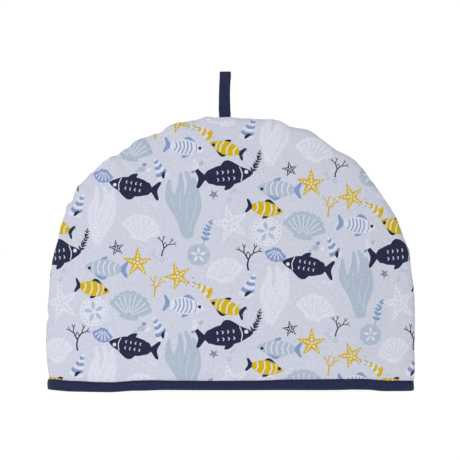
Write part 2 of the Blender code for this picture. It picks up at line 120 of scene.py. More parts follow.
LOOP_ROWS = [
    LoopRow(-0.20, 0.15, -0.2, 10.4), LoopRow(0.04, 0.15, -0.35, 10.4),
    LoopRow(0.16, 0.9, -0.65, 10.3), LoopRow(0.34, 2.3, -0.7, 10.1),
    LoopRow(0.54, 3.3, -0.7, 9.9), LoopRow(0.74, 3.7, -0.4, 9.8),
    LoopRow(0.88, 3.7, 0.05, 10.0),
]

# ================================================================ what only the looks need
# Long soft creases: middle of the crease, its heading in degrees, half length,
# half width and depth in mm (minus is a ridge).
Crease = namedtuple("Crease", "x z turn long wide deep")
FRONT_CREASES = [
    Crease(-128.0, 172.0, -38.0, 26.0, 4.0, 0.55), Crease(-112.0, 186.0, -30.0, 20.0, 3.5, -0.45),
    Crease(58.0, 222.0, 60.0, 22.0, 3.4, 0.60), Crease(72.0, 214.0, 52.0, 24.0, 4.5, -0.50),
    Crease(148.0, 60.0, 82.0, 40.0, 5.0, 0.55), Crease(134.0, 120.0, 74.0, 34.0, 6.0, -0.45),
    Crease(-154.0, 74.0, 96.0, 32.0, 5.0, 0.50), Crease(-60.0, 226.0, 120.0, 20.0, 4.0, 0.45),
    Crease(-20.0, 62.0, 8.0, 46.0, 6.0, 0.35), Crease(96.0, 40.0, -6.0, 34.0, 5.0, -0.35),
    Crease(-92.0, 30.0, 78.0, 15.0, 3.4, 0.50), Crease(-104.0, 32.0, 84.0, 14.0, 3.4, -0.45),
    Crease(20.0, 150.0, 30.0, 40.0, 8.0, 0.30), Crease(-40.0, 120.0, -22.0, 46.0, 8.0, -0.30),
]
BACK_CREASES = [
    Crease(-120.0, 150.0, -44.0, 30.0, 5.0, 0.55), Crease(100.0, 180.0, 50.0, 28.0, 4.5, 0.60),
    Crease(86.0, 190.0, 44.0, 24.0, 4.5, -0.50), Crease(-140.0, 66.0, 98.0, 36.0, 5.0, 0.50),
    Crease(142.0, 80.0, 84.0, 36.0, 5.0, 0.50), Crease(30.0, 48.0, 4.0, 50.0, 6.0, 0.40),
    Crease(-40.0, 34.0, 82.0, 15.0, 3.6, 0.50), Crease(-10.0, 140.0, 24.0, 48.0, 8.0, -0.35),
    Crease(-60.0, 216.0, 124.0, 22.0, 4.0, 0.50), Crease(40.0, 224.0, 66.0, 20.0, 3.6, 0.50),
]
# The binding's height over the hem, seen from the front, in mm.
Width = namedtuple("Width", "x high")
FRONT_TAPE = [
    Width(-176.0, 9.8), Width(-166.0, 10.7), Width(-146.0, 10.3), Width(-124.0, 9.6), Width(-102.0, 9.4),
    Width(-80.0, 9.9), Width(-56.0, 9.0), Width(-20.0, 8.9), Width(22.0, 9.1), Width(58.0, 10.1), Width(96.0, 10.5),
    Width(130.0, 10.0), Width(176.0, 10.1),
]
BACK_TAPE = [
    Width(-176.0, 9.3), Width(-120.0, 9.9), Width(-40.0, 9.3), Width(30.0, 9.7), Width(110.0, 9.2), Width(176.0, 10.1),
]

# Ink colours of the cloth, linear
INKS = {
    "ground": (0.605, 0.620, 0.722),
    "white": (0.698, 0.706, 0.803),
    "aqua": (0.420, 0.495, 0.602),
    "navy": (0.0182, 0.0200, 0.0585),
    "mustard": (0.622, 0.435, 0.001),
    "mid": (0.226, 0.320, 0.553),
    "inside": (0.700, 0.690, 0.655),
}


# ================================================================ shape rules
def smooth(low, high, value):
    t = np.clip((np.asarray(value, float) - low) / (high - low), 0.0, 1.0)
    return t * t * (3.0 - 2.0 * t)


def half_width(z, right):
    """Half width of the smooth outline at each height, to the right or left."""
    z = np.asarray(z, float)
    half = np.where(right, HALF_RIGHT, HALF_LEFT)
    low = half - HEM_DRAW * ((WIDEST_Z - np.clip(z, BOUND, WIDEST_Z)) / (WIDEST_Z - BOUND)) ** 2
    up = np.clip((z - WIDEST_Z) / (DOME_TOP - WIDEST_Z), 0.0, 1.0)
    return np.where(z <= WIDEST_Z, low, half * (1.0 - up ** TOP_POWER) ** (1.0 / SIDE_POWER))


def reach(origin_z, angle):
    """Distance from (CENTRE_X, origin_z) to the smooth outline at each angle."""
    angle = np.asarray(angle, float)
    low, high = np.zeros_like(angle), np.full_like(angle, 500.0)
    for _ in range(46):
        mid = 0.5 * (low + high)
        dx, z = mid * np.cos(angle), origin_z + mid * np.sin(angle)
        inside = (z < DOME_TOP) & (np.abs(dx) < half_width(z, dx > 0))
        low, high = np.where(inside, mid, low), np.where(inside, high, mid)
    return low


REACH_ANGLES = np.linspace(0.0, math.pi, 4001)
REACH_TABLE = reach(0.0, REACH_ANGLES)


def spread(x, z, inset):
    """0 in the middle of the hem, 1 on the outline drawn in by inset."""
    dx, dz = x - CENTRE_X, np.maximum(z, 0.0)
    far = np.interp(np.arctan2(dz, dx), REACH_ANGLES, REACH_TABLE) - inset
    return np.minimum(1.0, np.hypot(dx, dz) / far)


def drape(x, z, inset):
    return HALF_DEPTH * (1.0 - spread(x, z, inset) ** 2) ** DEPTH_POWER


def swell(x, z, rows):
    return sum(s.out * np.exp(-((x - s.x) / s.reach_x) ** 2 - ((z - s.z) / s.reach_z) ** 2) for s in rows)


def creased(x, z, rows):
    """Depth of the long soft creases."""
    deep = 0.0
    for c in rows:
        ca, sa = math.cos(math.radians(c.turn)), math.sin(math.radians(c.turn))
        along, across = (x - c.x) * ca + (z - c.z) * sa, -(x - c.x) * sa + (z - c.z) * ca
        bend = across - 0.004 * along ** 2 * (1 if c.deep > 0 else -1) * 0.5
        deep = deep + c.deep * np.exp(-(along / c.long) ** 2 - (bend / c.wide) ** 2)
    return deep


def seam_crease(x, z, from_seam):
    """Depth of the creases that run in from the puckers of the seam."""
    angle = np.degrees(np.arctan2(z - WIDEST_Z, x - CENTRE_X))
    deep = 0.0
    for p in PUCKERS:
        if p.deep:
            deep = deep + (p.deep * np.exp(-((angle - p.angle) / (0.8 * p.wide)) ** 2)
                           * np.exp(-(from_seam / p.reach) ** 2))
    return deep * smooth(WIDEST_Z - 4.0, WIDEST_Z, z)


def table(x, rows, column):
    """A table's column at each x, on smooth steps."""
    x = np.asarray(x, float)
    out = np.full_like(x, getattr(rows[0], column))
    for a, b in zip(rows, rows[1:]):
        t = smooth(a.x, b.x, x)
        out = np.where(x > a.x, getattr(a, column) + (getattr(b, column) - getattr(a, column)) * t, out)
    return out


def squeeze(z):
    return 1.0 - smooth(SQUEEZE_FROM, SQUEEZE_TO, z)


def slot(x):
    """How far the loop's two layers hold the panels off the seam plane."""
    beside = np.abs(x - LOOP_X) - 0.5 * LOOP_WIDTH - LOOP_SLOT - 0.3
    return (LOOP_TAPE + LOOP_SLOT) * (1.0 - smooth(0.0, LOOP_EASE, beside))


def ripple(a, b, length, seed, waves=5):
    """Even, smooth unevenness from about -1 to 1, its waves near a length."""
    out = 0.0
    for k in range(waves):
        turn = seed * 1.7 + 2.39996 * k
        size = length * (0.72 + 0.16 * k)
        out = out + np.sin(2 * math.pi * (a * math.cos(turn) + b * math.sin(turn)) / size + 5.1 * k + seed)
    return out / math.sqrt(2.0 * waves)


def noise_along(s, length, seed):
    """The same along one line."""
    out = 0.0
    for k, f in enumerate((1.0, 0.61, 1.47, 0.37, 2.13)):
        out = out + np.sin(2 * math.pi * s * f / length + seed * (1.3 + k) + 2.1 * k) / (1.0 + 0.35 * k)
    return out / 2.0


# ================================================================ the cloth laid flat
EASE = 6.7                    # radius of the roll at the seam
ROLL_ARC = 0.5 * math.pi * EASE
SPARE = ROLL_ARC - ROLL       # cloth that the roll takes up


class Flat:
    """One panel's cloth laid flat: u sideways and v up from the hem, in mm."""

    def __init__(self, side, hem, swells, creases, seed):
        self.side, self.hem, self.swells, self.creases, self.seed = side, hem, swells, creases, seed
        self.xs = np.arange(-188.0, 188.5, 1.0)
        self.zs = np.arange(-6.0, 272.5, 1.0)
        x, z = np.meshgrid(self.xs, self.zs)
        high = drape(x, z, 0.0) + swell(x, z, swells)
        step = np.hypot(1.0, np.diff(high, axis=1))
        u = np.concatenate([np.zeros((len(self.zs), 1)), np.cumsum(step, axis=1)], axis=1)
        middle = np.array([np.interp(CENTRE_X, self.xs, row) for row in u])
        self.u = u - middle[:, None] + CENTRE_X
        step = np.hypot(1.0, np.diff(high, axis=0))
        v = np.concatenate([np.zeros((1, len(self.xs))), np.cumsum(step, axis=0)], axis=0)
        at = int(round(0.0 - self.zs[0]))
        self.v = v - v[at][None, :]
        self.make_outline()

    def look(self, grid, x, z):
        fx = np.clip(x - self.xs[0], 0, len(self.xs) - 1.001)
        fz = np.clip(z - self.zs[0], 0, len(self.zs) - 1.001)
        i, j = fx.astype(int), fz.astype(int)
        fx, fz = fx - i, fz - j
        return ((1 - fz) * ((1 - fx) * grid[j, i] + fx * grid[j, i + 1])
                + fz * ((1 - fx) * grid[j + 1, i] + fx * grid[j + 1, i + 1]))

    def to_flat(self, x, z):
        return self.look(self.u, x, z), self.look(self.v, x, z)

    def from_flat(self, u, v):
        x, z = u * 0.96, v * 0.98
        for _ in range(16):
            du, dv = u - self.look(self.u, x, z), v - self.look(self.v, x, z)
            x, z = x + 0.78 * du, z + 0.78 * dv
        return x, z

    def make_outline(self):
        """The smooth seam line, its outward normals, and how far each point is pulled out."""
        rise = np.arange(PANEL_FOOT, WIDEST_Z, 0.6)
        turn = np.linspace(0.0, math.pi, 1201)
        r = reach(WIDEST_Z, turn)
        x = np.concatenate([CENTRE_X + half_width(rise, True), CENTRE_X + r * np.cos(turn),
                            CENTRE_X - half_width(rise[::-1], False)])
        z = np.concatenate([rise, WIDEST_Z + r * np.sin(turn), rise[::-1]])
        u, v = self.to_flat(x, z)
        line = np.stack([u, v], 1)
        step = np.linalg.norm(np.diff(line, axis=0), axis=1)
        along = np.concatenate([[0.0], np.cumsum(step)])
        even = np.linspace(0.0, along[-1], int(along[-1] / 0.6) + 1)
        line = np.stack([np.interp(even, along, line[:, k]) for k in (0, 1)], 1)
        xz = np.stack([np.interp(even, along, x), np.interp(even, along, z)], 1)
        along = even
        d = np.gradient(line, axis=0)
        for _ in range(30):
            d[1:-1] = 0.25 * d[:-2] + 0.5 * d[1:-1] + 0.25 * d[2:]
        d /= np.linalg.norm(d, axis=1)[:, None]
        out = np.stack([d[:, 1], -d[:, 0]], 1)
        radial = xz - np.array([CENTRE_X, WIDEST_Z])
        angle = np.degrees(np.arctan2(radial[:, 1], radial[:, 0]))
        radial /= np.maximum(np.linalg.norm(radial, axis=1)[:, None], 1e-9)
        facing = np.clip((radial * out).sum(1), 0.6, 1.0)
        pull = np.zeros(len(angle))
        for p in PUCKERS:
            pull += p.out * np.exp(-((angle - p.angle) / p.wide) ** 2) * facing
        high = smooth(WIDEST_Z - 30.0, WIDEST_Z + 20.0, xz[:, 1])
        pull += (0.18 * noise_along(along, 9.5, 1.0) - 0.26) * high
        self.line, self.out, self.pull, self.along = line, out, pull, along
        self.tree = kdtree.KDTree(len(line))
        for i, p in enumerate(line):
            self.tree.insert((p[0], p[1], 0.0), i)
        self.tree.balance()

    def seam_at(self, along, distance):
        """Flat points at places along the seam line, a distance in from the cloth's edge."""
        p = np.stack([np.interp(along, self.along, self.line[:, k]) for k in (0, 1)], 1)
        n = np.stack([np.interp(along, self.along, self.out[:, k]) for k in (0, 1)], 1)
        w = np.interp(along, self.along, self.pull)
        return p + n * (w + SPARE - distance)[:, None]

    def from_edge(self, q):
        """Distance in from the cloth's edge, inward direction and place along the seam."""
        near = np.array([self.tree.find((a, b, 0.0))[1] for a, b in q])
        last = len(self.line) - 1
        best_d = np.full(len(q), 1e9)
        best = np.zeros((len(q), 4))
        for a, b in ((np.maximum(near - 1, 0), near), (near, np.minimum(near + 1, last))):
            pa, pb = self.line[a], self.line[b]
            ab = pb - pa
            size = np.maximum((ab * ab).sum(1), 1e-12)
            t = np.clip(((q - pa) * ab).sum(1) / size, 0.0, 1.0)
            foot = pa + ab * t[:, None]
            n = self.out[a] * (1 - t)[:, None] + self.out[b] * t[:, None]
            n /= np.linalg.norm(n, axis=1)[:, None]
            off = q - foot
            d = np.linalg.norm(off, axis=1)
            inside = -(off * n).sum(1)
            w = self.pull[a] * (1 - t) + self.pull[b] * t
            s = self.along[a] * (1 - t) + self.along[b] * t
            better = d < best_d - 1e-9
            best_d = np.where(better, d, best_d)
            row = np.stack([np.where(inside >= 0, d, -d) + w + SPARE, -n[:, 0], -n[:, 1], s], 1)
            best = np.where(better[:, None], row, best)
        return best[:, 0], best[:, 1:3], best[:, 3]

    def place(self, q, outer=True):
        """Flat points to points in space, in mm."""
        a, inward, s = self.from_edge(q)
        a = np.maximum(a, 0.0)
        if outer:
            d = np.where(a < ROLL_ARC, ROLL * (1.0 - np.cos(np.minimum(a, ROLL_ARC) / EASE)), a - SPARE)
        else:
            d = a - SPARE + (SEAM_WALL + SPARE) * (1.0 - smooth(0.0, 80.0, a))
        moved = q + inward * (d - a + SPARE)[:, None]
        x, z = self.from_flat(moved[:, 0], moved[:, 1])
        # where the seam draws the outline in, the panel's own curve moves with it
        drawn = np.interp(s, self.along, self.pull) * np.exp(-(np.maximum(d, 0.0) / 30.0) ** 2)
        sx, sz = x + inward[:, 0] * drawn, z + inward[:, 1] * drawn
        soft = smooth(0.0, 26.0, z - BOUND)
        if outer:
            thick = PADDING - HEM_SQUEEZE * squeeze(z)
            back = np.maximum(0.0, 1.0 - d / ROLL)
            y = SEAM_GAP + drape(sx, sz, 0.0) + thick * np.sqrt(np.maximum(0.0, 1.0 - back * back))
            y = y + swell(x, z, self.swells) * smooth(4.0, 30.0, d)
            y = y - seam_crease(x, z, d) * smooth(0.0, 3.0, d)
            y = y - creased(x, z, self.creases) * smooth(2.0, 20.0, d) * smooth(0.0, 14.0, z - BOUND)
            # gathers that the seam and the binding leave in the cloth
            near = np.exp(-(a / 15.0) ** 2) * smooth(0.5, 5.0, a)
            y = y + 0.42 * noise_along(s, 11.0, self.seed) * near * smooth(WIDEST_Z - 36.0, WIDEST_Z + 20.0, z)
            low = smooth(0.0, 4.0, z - BOUND + 1.5) * np.exp(-(np.maximum(z - BOUND, 0.0) / 11.0) ** 2)
            y = y + 0.34 * noise_along(q[:, 0], 17.0, self.seed + 2.0) * low * smooth(4.0, 16.0, d)
            y = y + soft * smooth(6.0, 24.0, d) * (0.34 * ripple(q[:, 0], q[:, 1], 46.0, self.seed)
                                                   + 0.10 * ripple(q[:, 0], q[:, 1], 17.0, self.seed + 3.0))
            y = np.maximum(y, SEAM_GAP)
            groove = GROOVE * (1.0 - squeeze(z)) * np.exp(-((y - SEAM_GAP) / GROOVE_WIDTH) ** 2)
            y = np.where(z > 0.9 * DOME_TOP, np.maximum(y, SEAM_GAP + slot(x)), y)
            x, z = x + inward[:, 0] * groove, z + inward[:, 1] * groove
        else:
            y = drape(sx, sz, SEAM_WALL) * smooth(0.0, 4.0, a)
            y = y + 0.5 * HEM_SQUEEZE * squeeze(z) * smooth(0.0, 8.0, y)
            y = y + 0.6 * swell(x, z, self.swells) * smooth(10.0, 34.0, a)
            y = y + 0.3 * ripple(q[:, 0], q[:, 1], 40.0, self.seed + 1.0) * smooth(8.0, 30.0, a) * soft
            y = SEAM_GAP + np.maximum(y, 0.0)
        z = z + table(x, self.hem, "up") * (1.0 - smooth(12.0, 60.0, z))
        return np.stack([x, self.side * y, z], 1)

    def normals(self, q, outer=True):
        """Outward normals of a face, from the face's own slopes."""
        h = 0.25
        du = self.place(q + (h, 0.0), outer) - self.place(q - (h, 0.0), outer)
        dv = self.place(q + (0.0, h), outer) - self.place(q - (0.0, h), outer)
        n = np.cross(du, dv) * (1.0 if (self.side < 0) == outer else -1.0)
        return n / np.maximum(np.linalg.norm(n, axis=1)[:, None], 1e-12)


# ================================================================ meshes
def outline_box(shape):
    return shape[:, 0].min(), shape[:, 0].max(), shape[:, 1].min(), shape[:, 1].max()


def divided(shape, far):
    """A closed outline with no segment longer than far."""
    nxt = np.roll(shape, -1, axis=0)
    out = []
    for a, b in zip(shape, nxt):
        n = max(1, int(math.ceil(math.hypot(b[0] - a[0], b[1] - a[1]) / far)))
        for k in range(n):
            out.append(a + (b - a) * (k / n))
    return np.array(out)


def inside_line(points, line):
    """Which points lie inside a closed line."""
    a, b = line, np.roll(line, -1, axis=0)
    hit = np.zeros(len(points), bool)
    px, py = points[:, 0], points[:, 1]
    for (ax, ay), (bx, by) in zip(a, b):
        if ay == by:
            continue
        cross = ((ay > py) != (by > py))
        hit ^= cross & (px < (bx - ax) * (py - ay) / (by - ay) + ax)
    return hit


def triangles(points, edges):
    """Constrained triangulation of points in a plane."""
    made = geometry.delaunay_2d_cdt([Vector((float(a), float(b))) for a, b in points], edges, [], 0, 1e-5, False)
    return np.array([(v[0], v[1]) for v in made[0]]), np.array([tuple(f) for f in made[2]])


def hex_grid(x0, x1, y0, y1, size, seed):
    rows = int((y1 - y0) / (size * 0.866)) + 1
    cols = int((x1 - x0) / size) + 1
    j, i = np.meshgrid(np.arange(rows), np.arange(cols), indexing="ij")
    x = x0 + (i + 0.5 * (j % 2)) * size
    y = y0 + j * size * 0.866
    x = x + 0.16 * size * np.sin(12.9 * i + 7.3 * j + seed)
    y = y + 0.16 * size * np.sin(5.7 * i + 17.1 * j + 2.0 * seed)
    return np.stack([x.ravel(), y.ravel()], 1)


class Near:
    """Distance from points to the nearest of a set, through a KD tree."""

    def __init__(self, points):
        self.tree = kdtree.KDTree(len(points))
        for i, p in enumerate(points):
            self.tree.insert((p[0], p[1], 0.0), i)
        self.tree.balance()

    def far(self, points):
        return np.array([self.tree.find((a, b, 0.0))[2] for a, b in points])


RINGS = [0.9, 1.9, 3.1, 4.5, 6.1, 7.9, 9.9, 12.0]


def boundary(flat):
    """The cloth's edge: along the seam from the right foot to the left one, then along the hem."""
    length = flat.along[-1]
    s = np.linspace(0.0, length, int(length / 1.5) + 1)
    seam = flat.seam_at(s, 0.0)
    count = int((seam[0, 0] - seam[-1, 0]) / 2.0)
    t = np.linspace(0.0, 1.0, count + 1)[1:-1]
    x = (CENTRE_X - half_width(0.0, False)) * (1 - t) + (CENTRE_X + half_width(0.0, True)) * t
    hem_u, hem_v = flat.to_flat(x, np.full_like(x, PANEL_FOOT))
    wide = (seam[0, 0] - seam[-1, 0]) / (hem_u[-1] - hem_u[0] + 2.0)
    hem_u = seam[-1, 0] + (hem_u - hem_u[0] + 1.0) * wide
    return seam, np.stack([hem_u, hem_v], 1), s


def flat_mesh(flat, shapes, size, rings, seed):
    """(points, triangles, ink of each triangle, how many points are on the edge)."""
    seam, hem, s = boundary(flat)
    edge = np.concatenate([seam, hem])
    count = len(edge)
    points, edges = [edge], [(i, (i + 1) % count) for i in range(count)]
    total = count
    x0, x1, y0, y1 = outline_box(edge)
    marks = []
    for ink, shape in shapes:
        shape = shape[np.concatenate([[True], np.linalg.norm(np.diff(shape, axis=0), axis=1) > 0.05])]
        marks.append((ink, shape))
    if marks:
        every = np.concatenate([m[1] for m in marks])
        deep = flat.from_edge(every)[0]
        low = every[:, 1] - hem[:, 1].min()
        inner = (deep > 0.35) & (low > 0.35)
        at = 0
        index = np.full(len(every), -1)
        kept = np.nonzero(inner)[0]
        index[kept] = total + np.arange(len(kept))
        points.append(every[kept])
        total += len(kept)
        for ink, shape in marks:
            n = len(shape)
            for k in range(n):
                a, b = index[at + k], index[at + (k + 1) % n]
                if a >= 0 and b >= 0 and a != b:
                    edges.append((int(a), int(b)))
            at += n
    taken = Near(np.concatenate(points))
    if rings:
        for k, distance in enumerate(RINGS):
            step = 1.5 if distance < 5.0 else 1.8
            line = np.arange(0.5 * step * (k % 2), flat.along[-1], step)
            ring = flat.seam_at(line, distance)
            ring = ring[(ring[:, 1] > hem[:, 1].max() + 0.4)]
            ring = ring[taken.far(ring) > 0.55]
            points.append(ring)
            total += len(ring)
    grid = hex_grid(x0, x1, y0, y1, size, seed)
    grid = grid[grid[:, 1] > hem[:, 1].max() + 0.4 * size]
    grid = grid[inside_line(grid, edge[::3])]
    deep = flat.from_edge(grid)[0]
    grid = grid[deep > (RINGS[-1] + 0.7 * size if rings else 0.5 * size)]
    grid = grid[taken.far(grid) > 0.30 * size]
    points.append(grid)
    points = np.concatenate(points)
    made, faces = triangles(points, edges)
    middle = made[faces].mean(axis=1)
    faces = faces[inside_line(middle, edge)]
    middle = made[faces].mean(axis=1)
    # the ink on top of each triangle
    ink_of = np.zeros(len(faces), int)
    order = np.argsort(middle[:, 0])
    xs = middle[order, 0]
    for ink, shape in marks:
        bx0, bx1, by0, by1 = outline_box(shape)
        chosen = order[np.searchsorted(xs, bx0):np.searchsorted(xs, bx1)]
        chosen = chosen[(middle[chosen, 1] > by0) & (middle[chosen, 1] < by1)]
        if len(chosen):
            hit = inside_line(middle[chosen], shape)
            ink_of[chosen[hit]] = INK_ORDER.index(ink)
    return made, faces, ink_of, count


INK_ORDER = list(INKS)


def packed(values):
    return np.ascontiguousarray(values, dtype=np.float32).ravel()


def make_object(name, points, faces, normals, uvs, cloth, colours):
    """A piece from points in mm, with per-corner normals, bake map and colours, and cloth places."""
    me = bpy.data.meshes.new(name)
    me.from_pydata((points * 0.001).tolist(), [], faces)
    corners = len(me.loops)
    me.polygons.foreach_set("use_smooth", np.ones(len(me.polygons), bool))
    layer = me.uv_layers.new(name="OFBake")
    layer.data.foreach_set("uv", packed(uvs))
    place = me.attributes.new("cloth", "FLOAT_VECTOR", "POINT")
    place.data.foreach_set("vector", packed(cloth))
    ink = me.attributes.new("ink", "FLOAT_COLOR", "CORNER")
    rgba = np.ones((corners, 4), np.float32)
    rgba[:, :3] = colours
    ink.data.foreach_set("color", rgba.ravel())
    if normals is not None:
        me.normals_split_custom_set(normals.tolist())
    me.update()
    ob = bpy.data.objects.new(name, me)
    bpy.context.scene.collection.objects.link(ob)
    return ob


def face_normals(points, faces):
    out = []
    for f in faces:
        p = points[list(f)]
        n = np.cross(p[1] - p[0], p[2] - p[0]) if len(f) == 3 else np.cross(p[2] - p[0], p[3] - p[1])
        out.append(n / max(np.linalg.norm(n), 1e-12))
    return np.array(out)


def vertex_normals(points, faces):
    """Normals of a triangle mesh's points, by the area of the faces round each."""
    n = np.cross(points[faces[:, 1]] - points[faces[:, 0]], points[faces[:, 2]] - points[faces[:, 0]])
    out = np.zeros_like(points)
    for k in range(3):
        np.add.at(out, faces[:, k], n)
    return out / np.maximum(np.linalg.norm(out, axis=1)[:, None], 1e-12)


def build_panel(name, flat, shapes, seed):
    q1, f1, ink, count = flat_mesh(flat, shapes, 1.9, True, seed)
    q2, f2, _, _ = flat_mesh(flat, [], 3.6, False, seed + 1.0)
    seam, hem, s = boundary(flat)
    p1, p2 = flat.place(q1), flat.place(q2, False)
    # the seam's hidden strip, held off the middle plane beside the loop
    _, inward, _ = flat.from_edge(seam)
    moved = seam + inward * (SPARE + SEAM_WALL - 1.3)
    x, z = flat.from_flat(moved[:, 0], moved[:, 1])
    y = SEAM_GAP + np.where(z > 0.9 * DOME_TOP, slot(x), 0.0)
    z = z + table(x, flat.hem, "up") * (1.0 - smooth(12.0, 60.0, z))
    wall = np.stack([x, flat.side * y, z], 1)
    n1, n2, m = len(q1), len(q2), len(seam)
    points = np.concatenate([p1, p2, wall])
    o = lambda i: i % count
    n = lambda i: n1 + i % count
    w = lambda i: n1 + n2 + i
    bands, band_uv = [], []
    for i in range(m - 1):
        a, b = 0.40 + 0.58 * i / m, 0.40 + 0.58 * (i + 1) / m
        bands.append((o(i + 1), o(i), w(i), w(i + 1)))
        band_uv.append(((b, 0.02), (a, 0.02), (a, 0.04), (b, 0.04)))
        bands.append((w(i + 1), w(i), n(i), n(i + 1)))
        band_uv.append(((b, 0.045), (a, 0.045), (a, 0.06), (b, 0.06)))
    for i in range(m - 1, count):
        a, b = 0.40 + 0.58 * (i - m + 1) / (count - m + 1), 0.40 + 0.58 * (i - m + 2) / (count - m + 1)
        bands.append((o(i + 1), o(i), n(i), n(i + 1)))
        band_uv.append(((b, 0.08), (a, 0.08), (a, 0.10), (b, 0.10)))
    bands.append((o(0), n(0), w(0)))
    band_uv.append(((0.40, 0.12), (0.42, 0.12), (0.41, 0.14)))
    bands.append((o(m - 1), w(m - 1), n(m - 1)))
    band_uv.append(((0.44, 0.12), (0.46, 0.12), (0.45, 0.14)))
    outer = f1
    inner = f2[:, ::-1] + n1
    norm1, own = flat.normals(q1), vertex_normals(p1, f1) * (1.0 if flat.side < 0 else -1.0)
    norm1 = np.where(((norm1 * own).sum(1) > 0.85)[:, None], norm1, own)
    norm2 = vertex_normals(p2, f2[:, ::-1]) * (1.0 if flat.side < 0 else -1.0)
    scale = 0.98 / 388.0
    uv1 = np.stack([0.01 + (q1[:, 0] + 194.0) * scale, 0.30 + q1[:, 1] * scale], 1)
    uv2 = np.stack([0.01 + (q2[:, 0] + 194.0) * 0.00096, 0.015 + q2[:, 1] * 0.00096], 1)
    band_normals = face_normals(points, bands)
    rgb = np.array([INKS[k] for k in INK_ORDER])
    inside = rgb[INK_ORDER.index("inside")]
    faces = [tuple(f) for f in outer.tolist()] + [tuple(f) for f in inner.tolist()] + bands
    normals = [norm1[outer].reshape(-1, 3), norm2[f2[:, ::-1]].reshape(-1, 3)]
    uvs = [uv1[outer].reshape(-1, 2), uv2[f2[:, ::-1]].reshape(-1, 2)]
    colours = [np.repeat(rgb[ink], 3, axis=0), np.repeat(inside[None, :], 3 * len(f2), axis=0)]
    sizes = np.array([len(f) for f in bands])
    normals.append(np.repeat(band_normals, sizes, axis=0))
    uvs.append(np.array([c for row in band_uv for c in row]))
    colours.append(np.repeat(inside[None, :], sizes.sum(), axis=0))
    normals, uvs, colours = np.concatenate(normals), np.concatenate(uvs), np.concatenate(colours)
    if flat.side > 0:
        # seen from behind: the other winding
        starts = np.concatenate([[0], np.cumsum([len(f) for f in faces])])
        back = np.concatenate([np.arange(b - 1, a - 1, -1) for a, b in zip(starts[:-1], starts[1:])])
        faces = [f[::-1] for f in faces]
        normals, uvs, colours = normals[back], uvs[back], colours[back]
        normals[len(normals) - sizes.sum():] *= -1.0
    cloth = np.concatenate([
        np.column_stack([q1, np.zeros(n1)]), np.column_stack([q2 + (0.0, 700.0), np.full(n2, 50.0)]),
        np.column_stack([seam + (0.0, 1400.0), np.full(m, 90.0)])])
    return make_object(name, points, faces, normals, uvs, cloth, colours)


# ================================================================ swept pieces
def volume(points, faces):
    total = 0.0
    for f in faces:
        a = points[f[0]]
        for i in range(1, len(f) - 1):
            total += float(np.dot(a, np.cross(points[f[i]], points[f[i + 1]])))
    return total / 6.0


def swept(name, rows, cloth, colour, painted_shade_tones, closed_path, strips):
    """A closed skin over rows of closed sections, (stations, points, 3) in mm, baked in strips, its colour darkened by
    painted shade tones.
    """
    stations, around = rows.shape[:2]
    points, places = rows.reshape(-1, 3), cloth.reshape(-1, 3)
    faces, uvs = [], []
    last = stations if closed_path else stations - 1
    a_strip = int(math.ceil(last / strips))
    for i in range(last):
        a, b = i * around, ((i + 1) % stations) * around
        strip, step = divmod(i, a_strip)
        v0, v1 = (strip + 0.02) / strips, (strip + 0.94) / strips
        ua, ub = 0.01 + 0.98 * step / a_strip, 0.01 + 0.98 * (step + 1) / a_strip
        for j in range(around):
            k = (j + 1) % around
            faces.append((a + j, b + j, b + k, a + k))
            va, vb = v0 + (v1 - v0) * j / around, v0 + (v1 - v0) * (j + 1) / around
            uvs.append(((ua, va), (ub, va), (ub, vb), (ua, vb)))
    if not closed_path:
        for start, order in ((0, 1), ((stations - 1) * around, -1)):
            ring = list(range(start, start + around))[::order]
            faces.append(tuple(ring))
            lift = 0.965 if order > 0 else 0.98
            uvs.append(tuple((0.02 + 0.01 * math.cos(2 * math.pi * order * j / around) + (0.1 if order > 0 else 0.0),
                              lift + 0.006 * math.sin(2 * math.pi * order * j / around)) for j in range(around)))
    if volume(points, faces) < 0:
        faces, uvs = [f[::-1] for f in faces], [u[::-1] for u in uvs]
    at = np.array([i for f in faces for i in f])
    # each corner's colour is the piece's colour times its painted shade tone
    return make_object(name, points, faces, None, np.array([c for u in uvs for c in u]), places,
                       painted_shade_tones.reshape(-1)[at][:, None] * np.array(colour)[None, :])


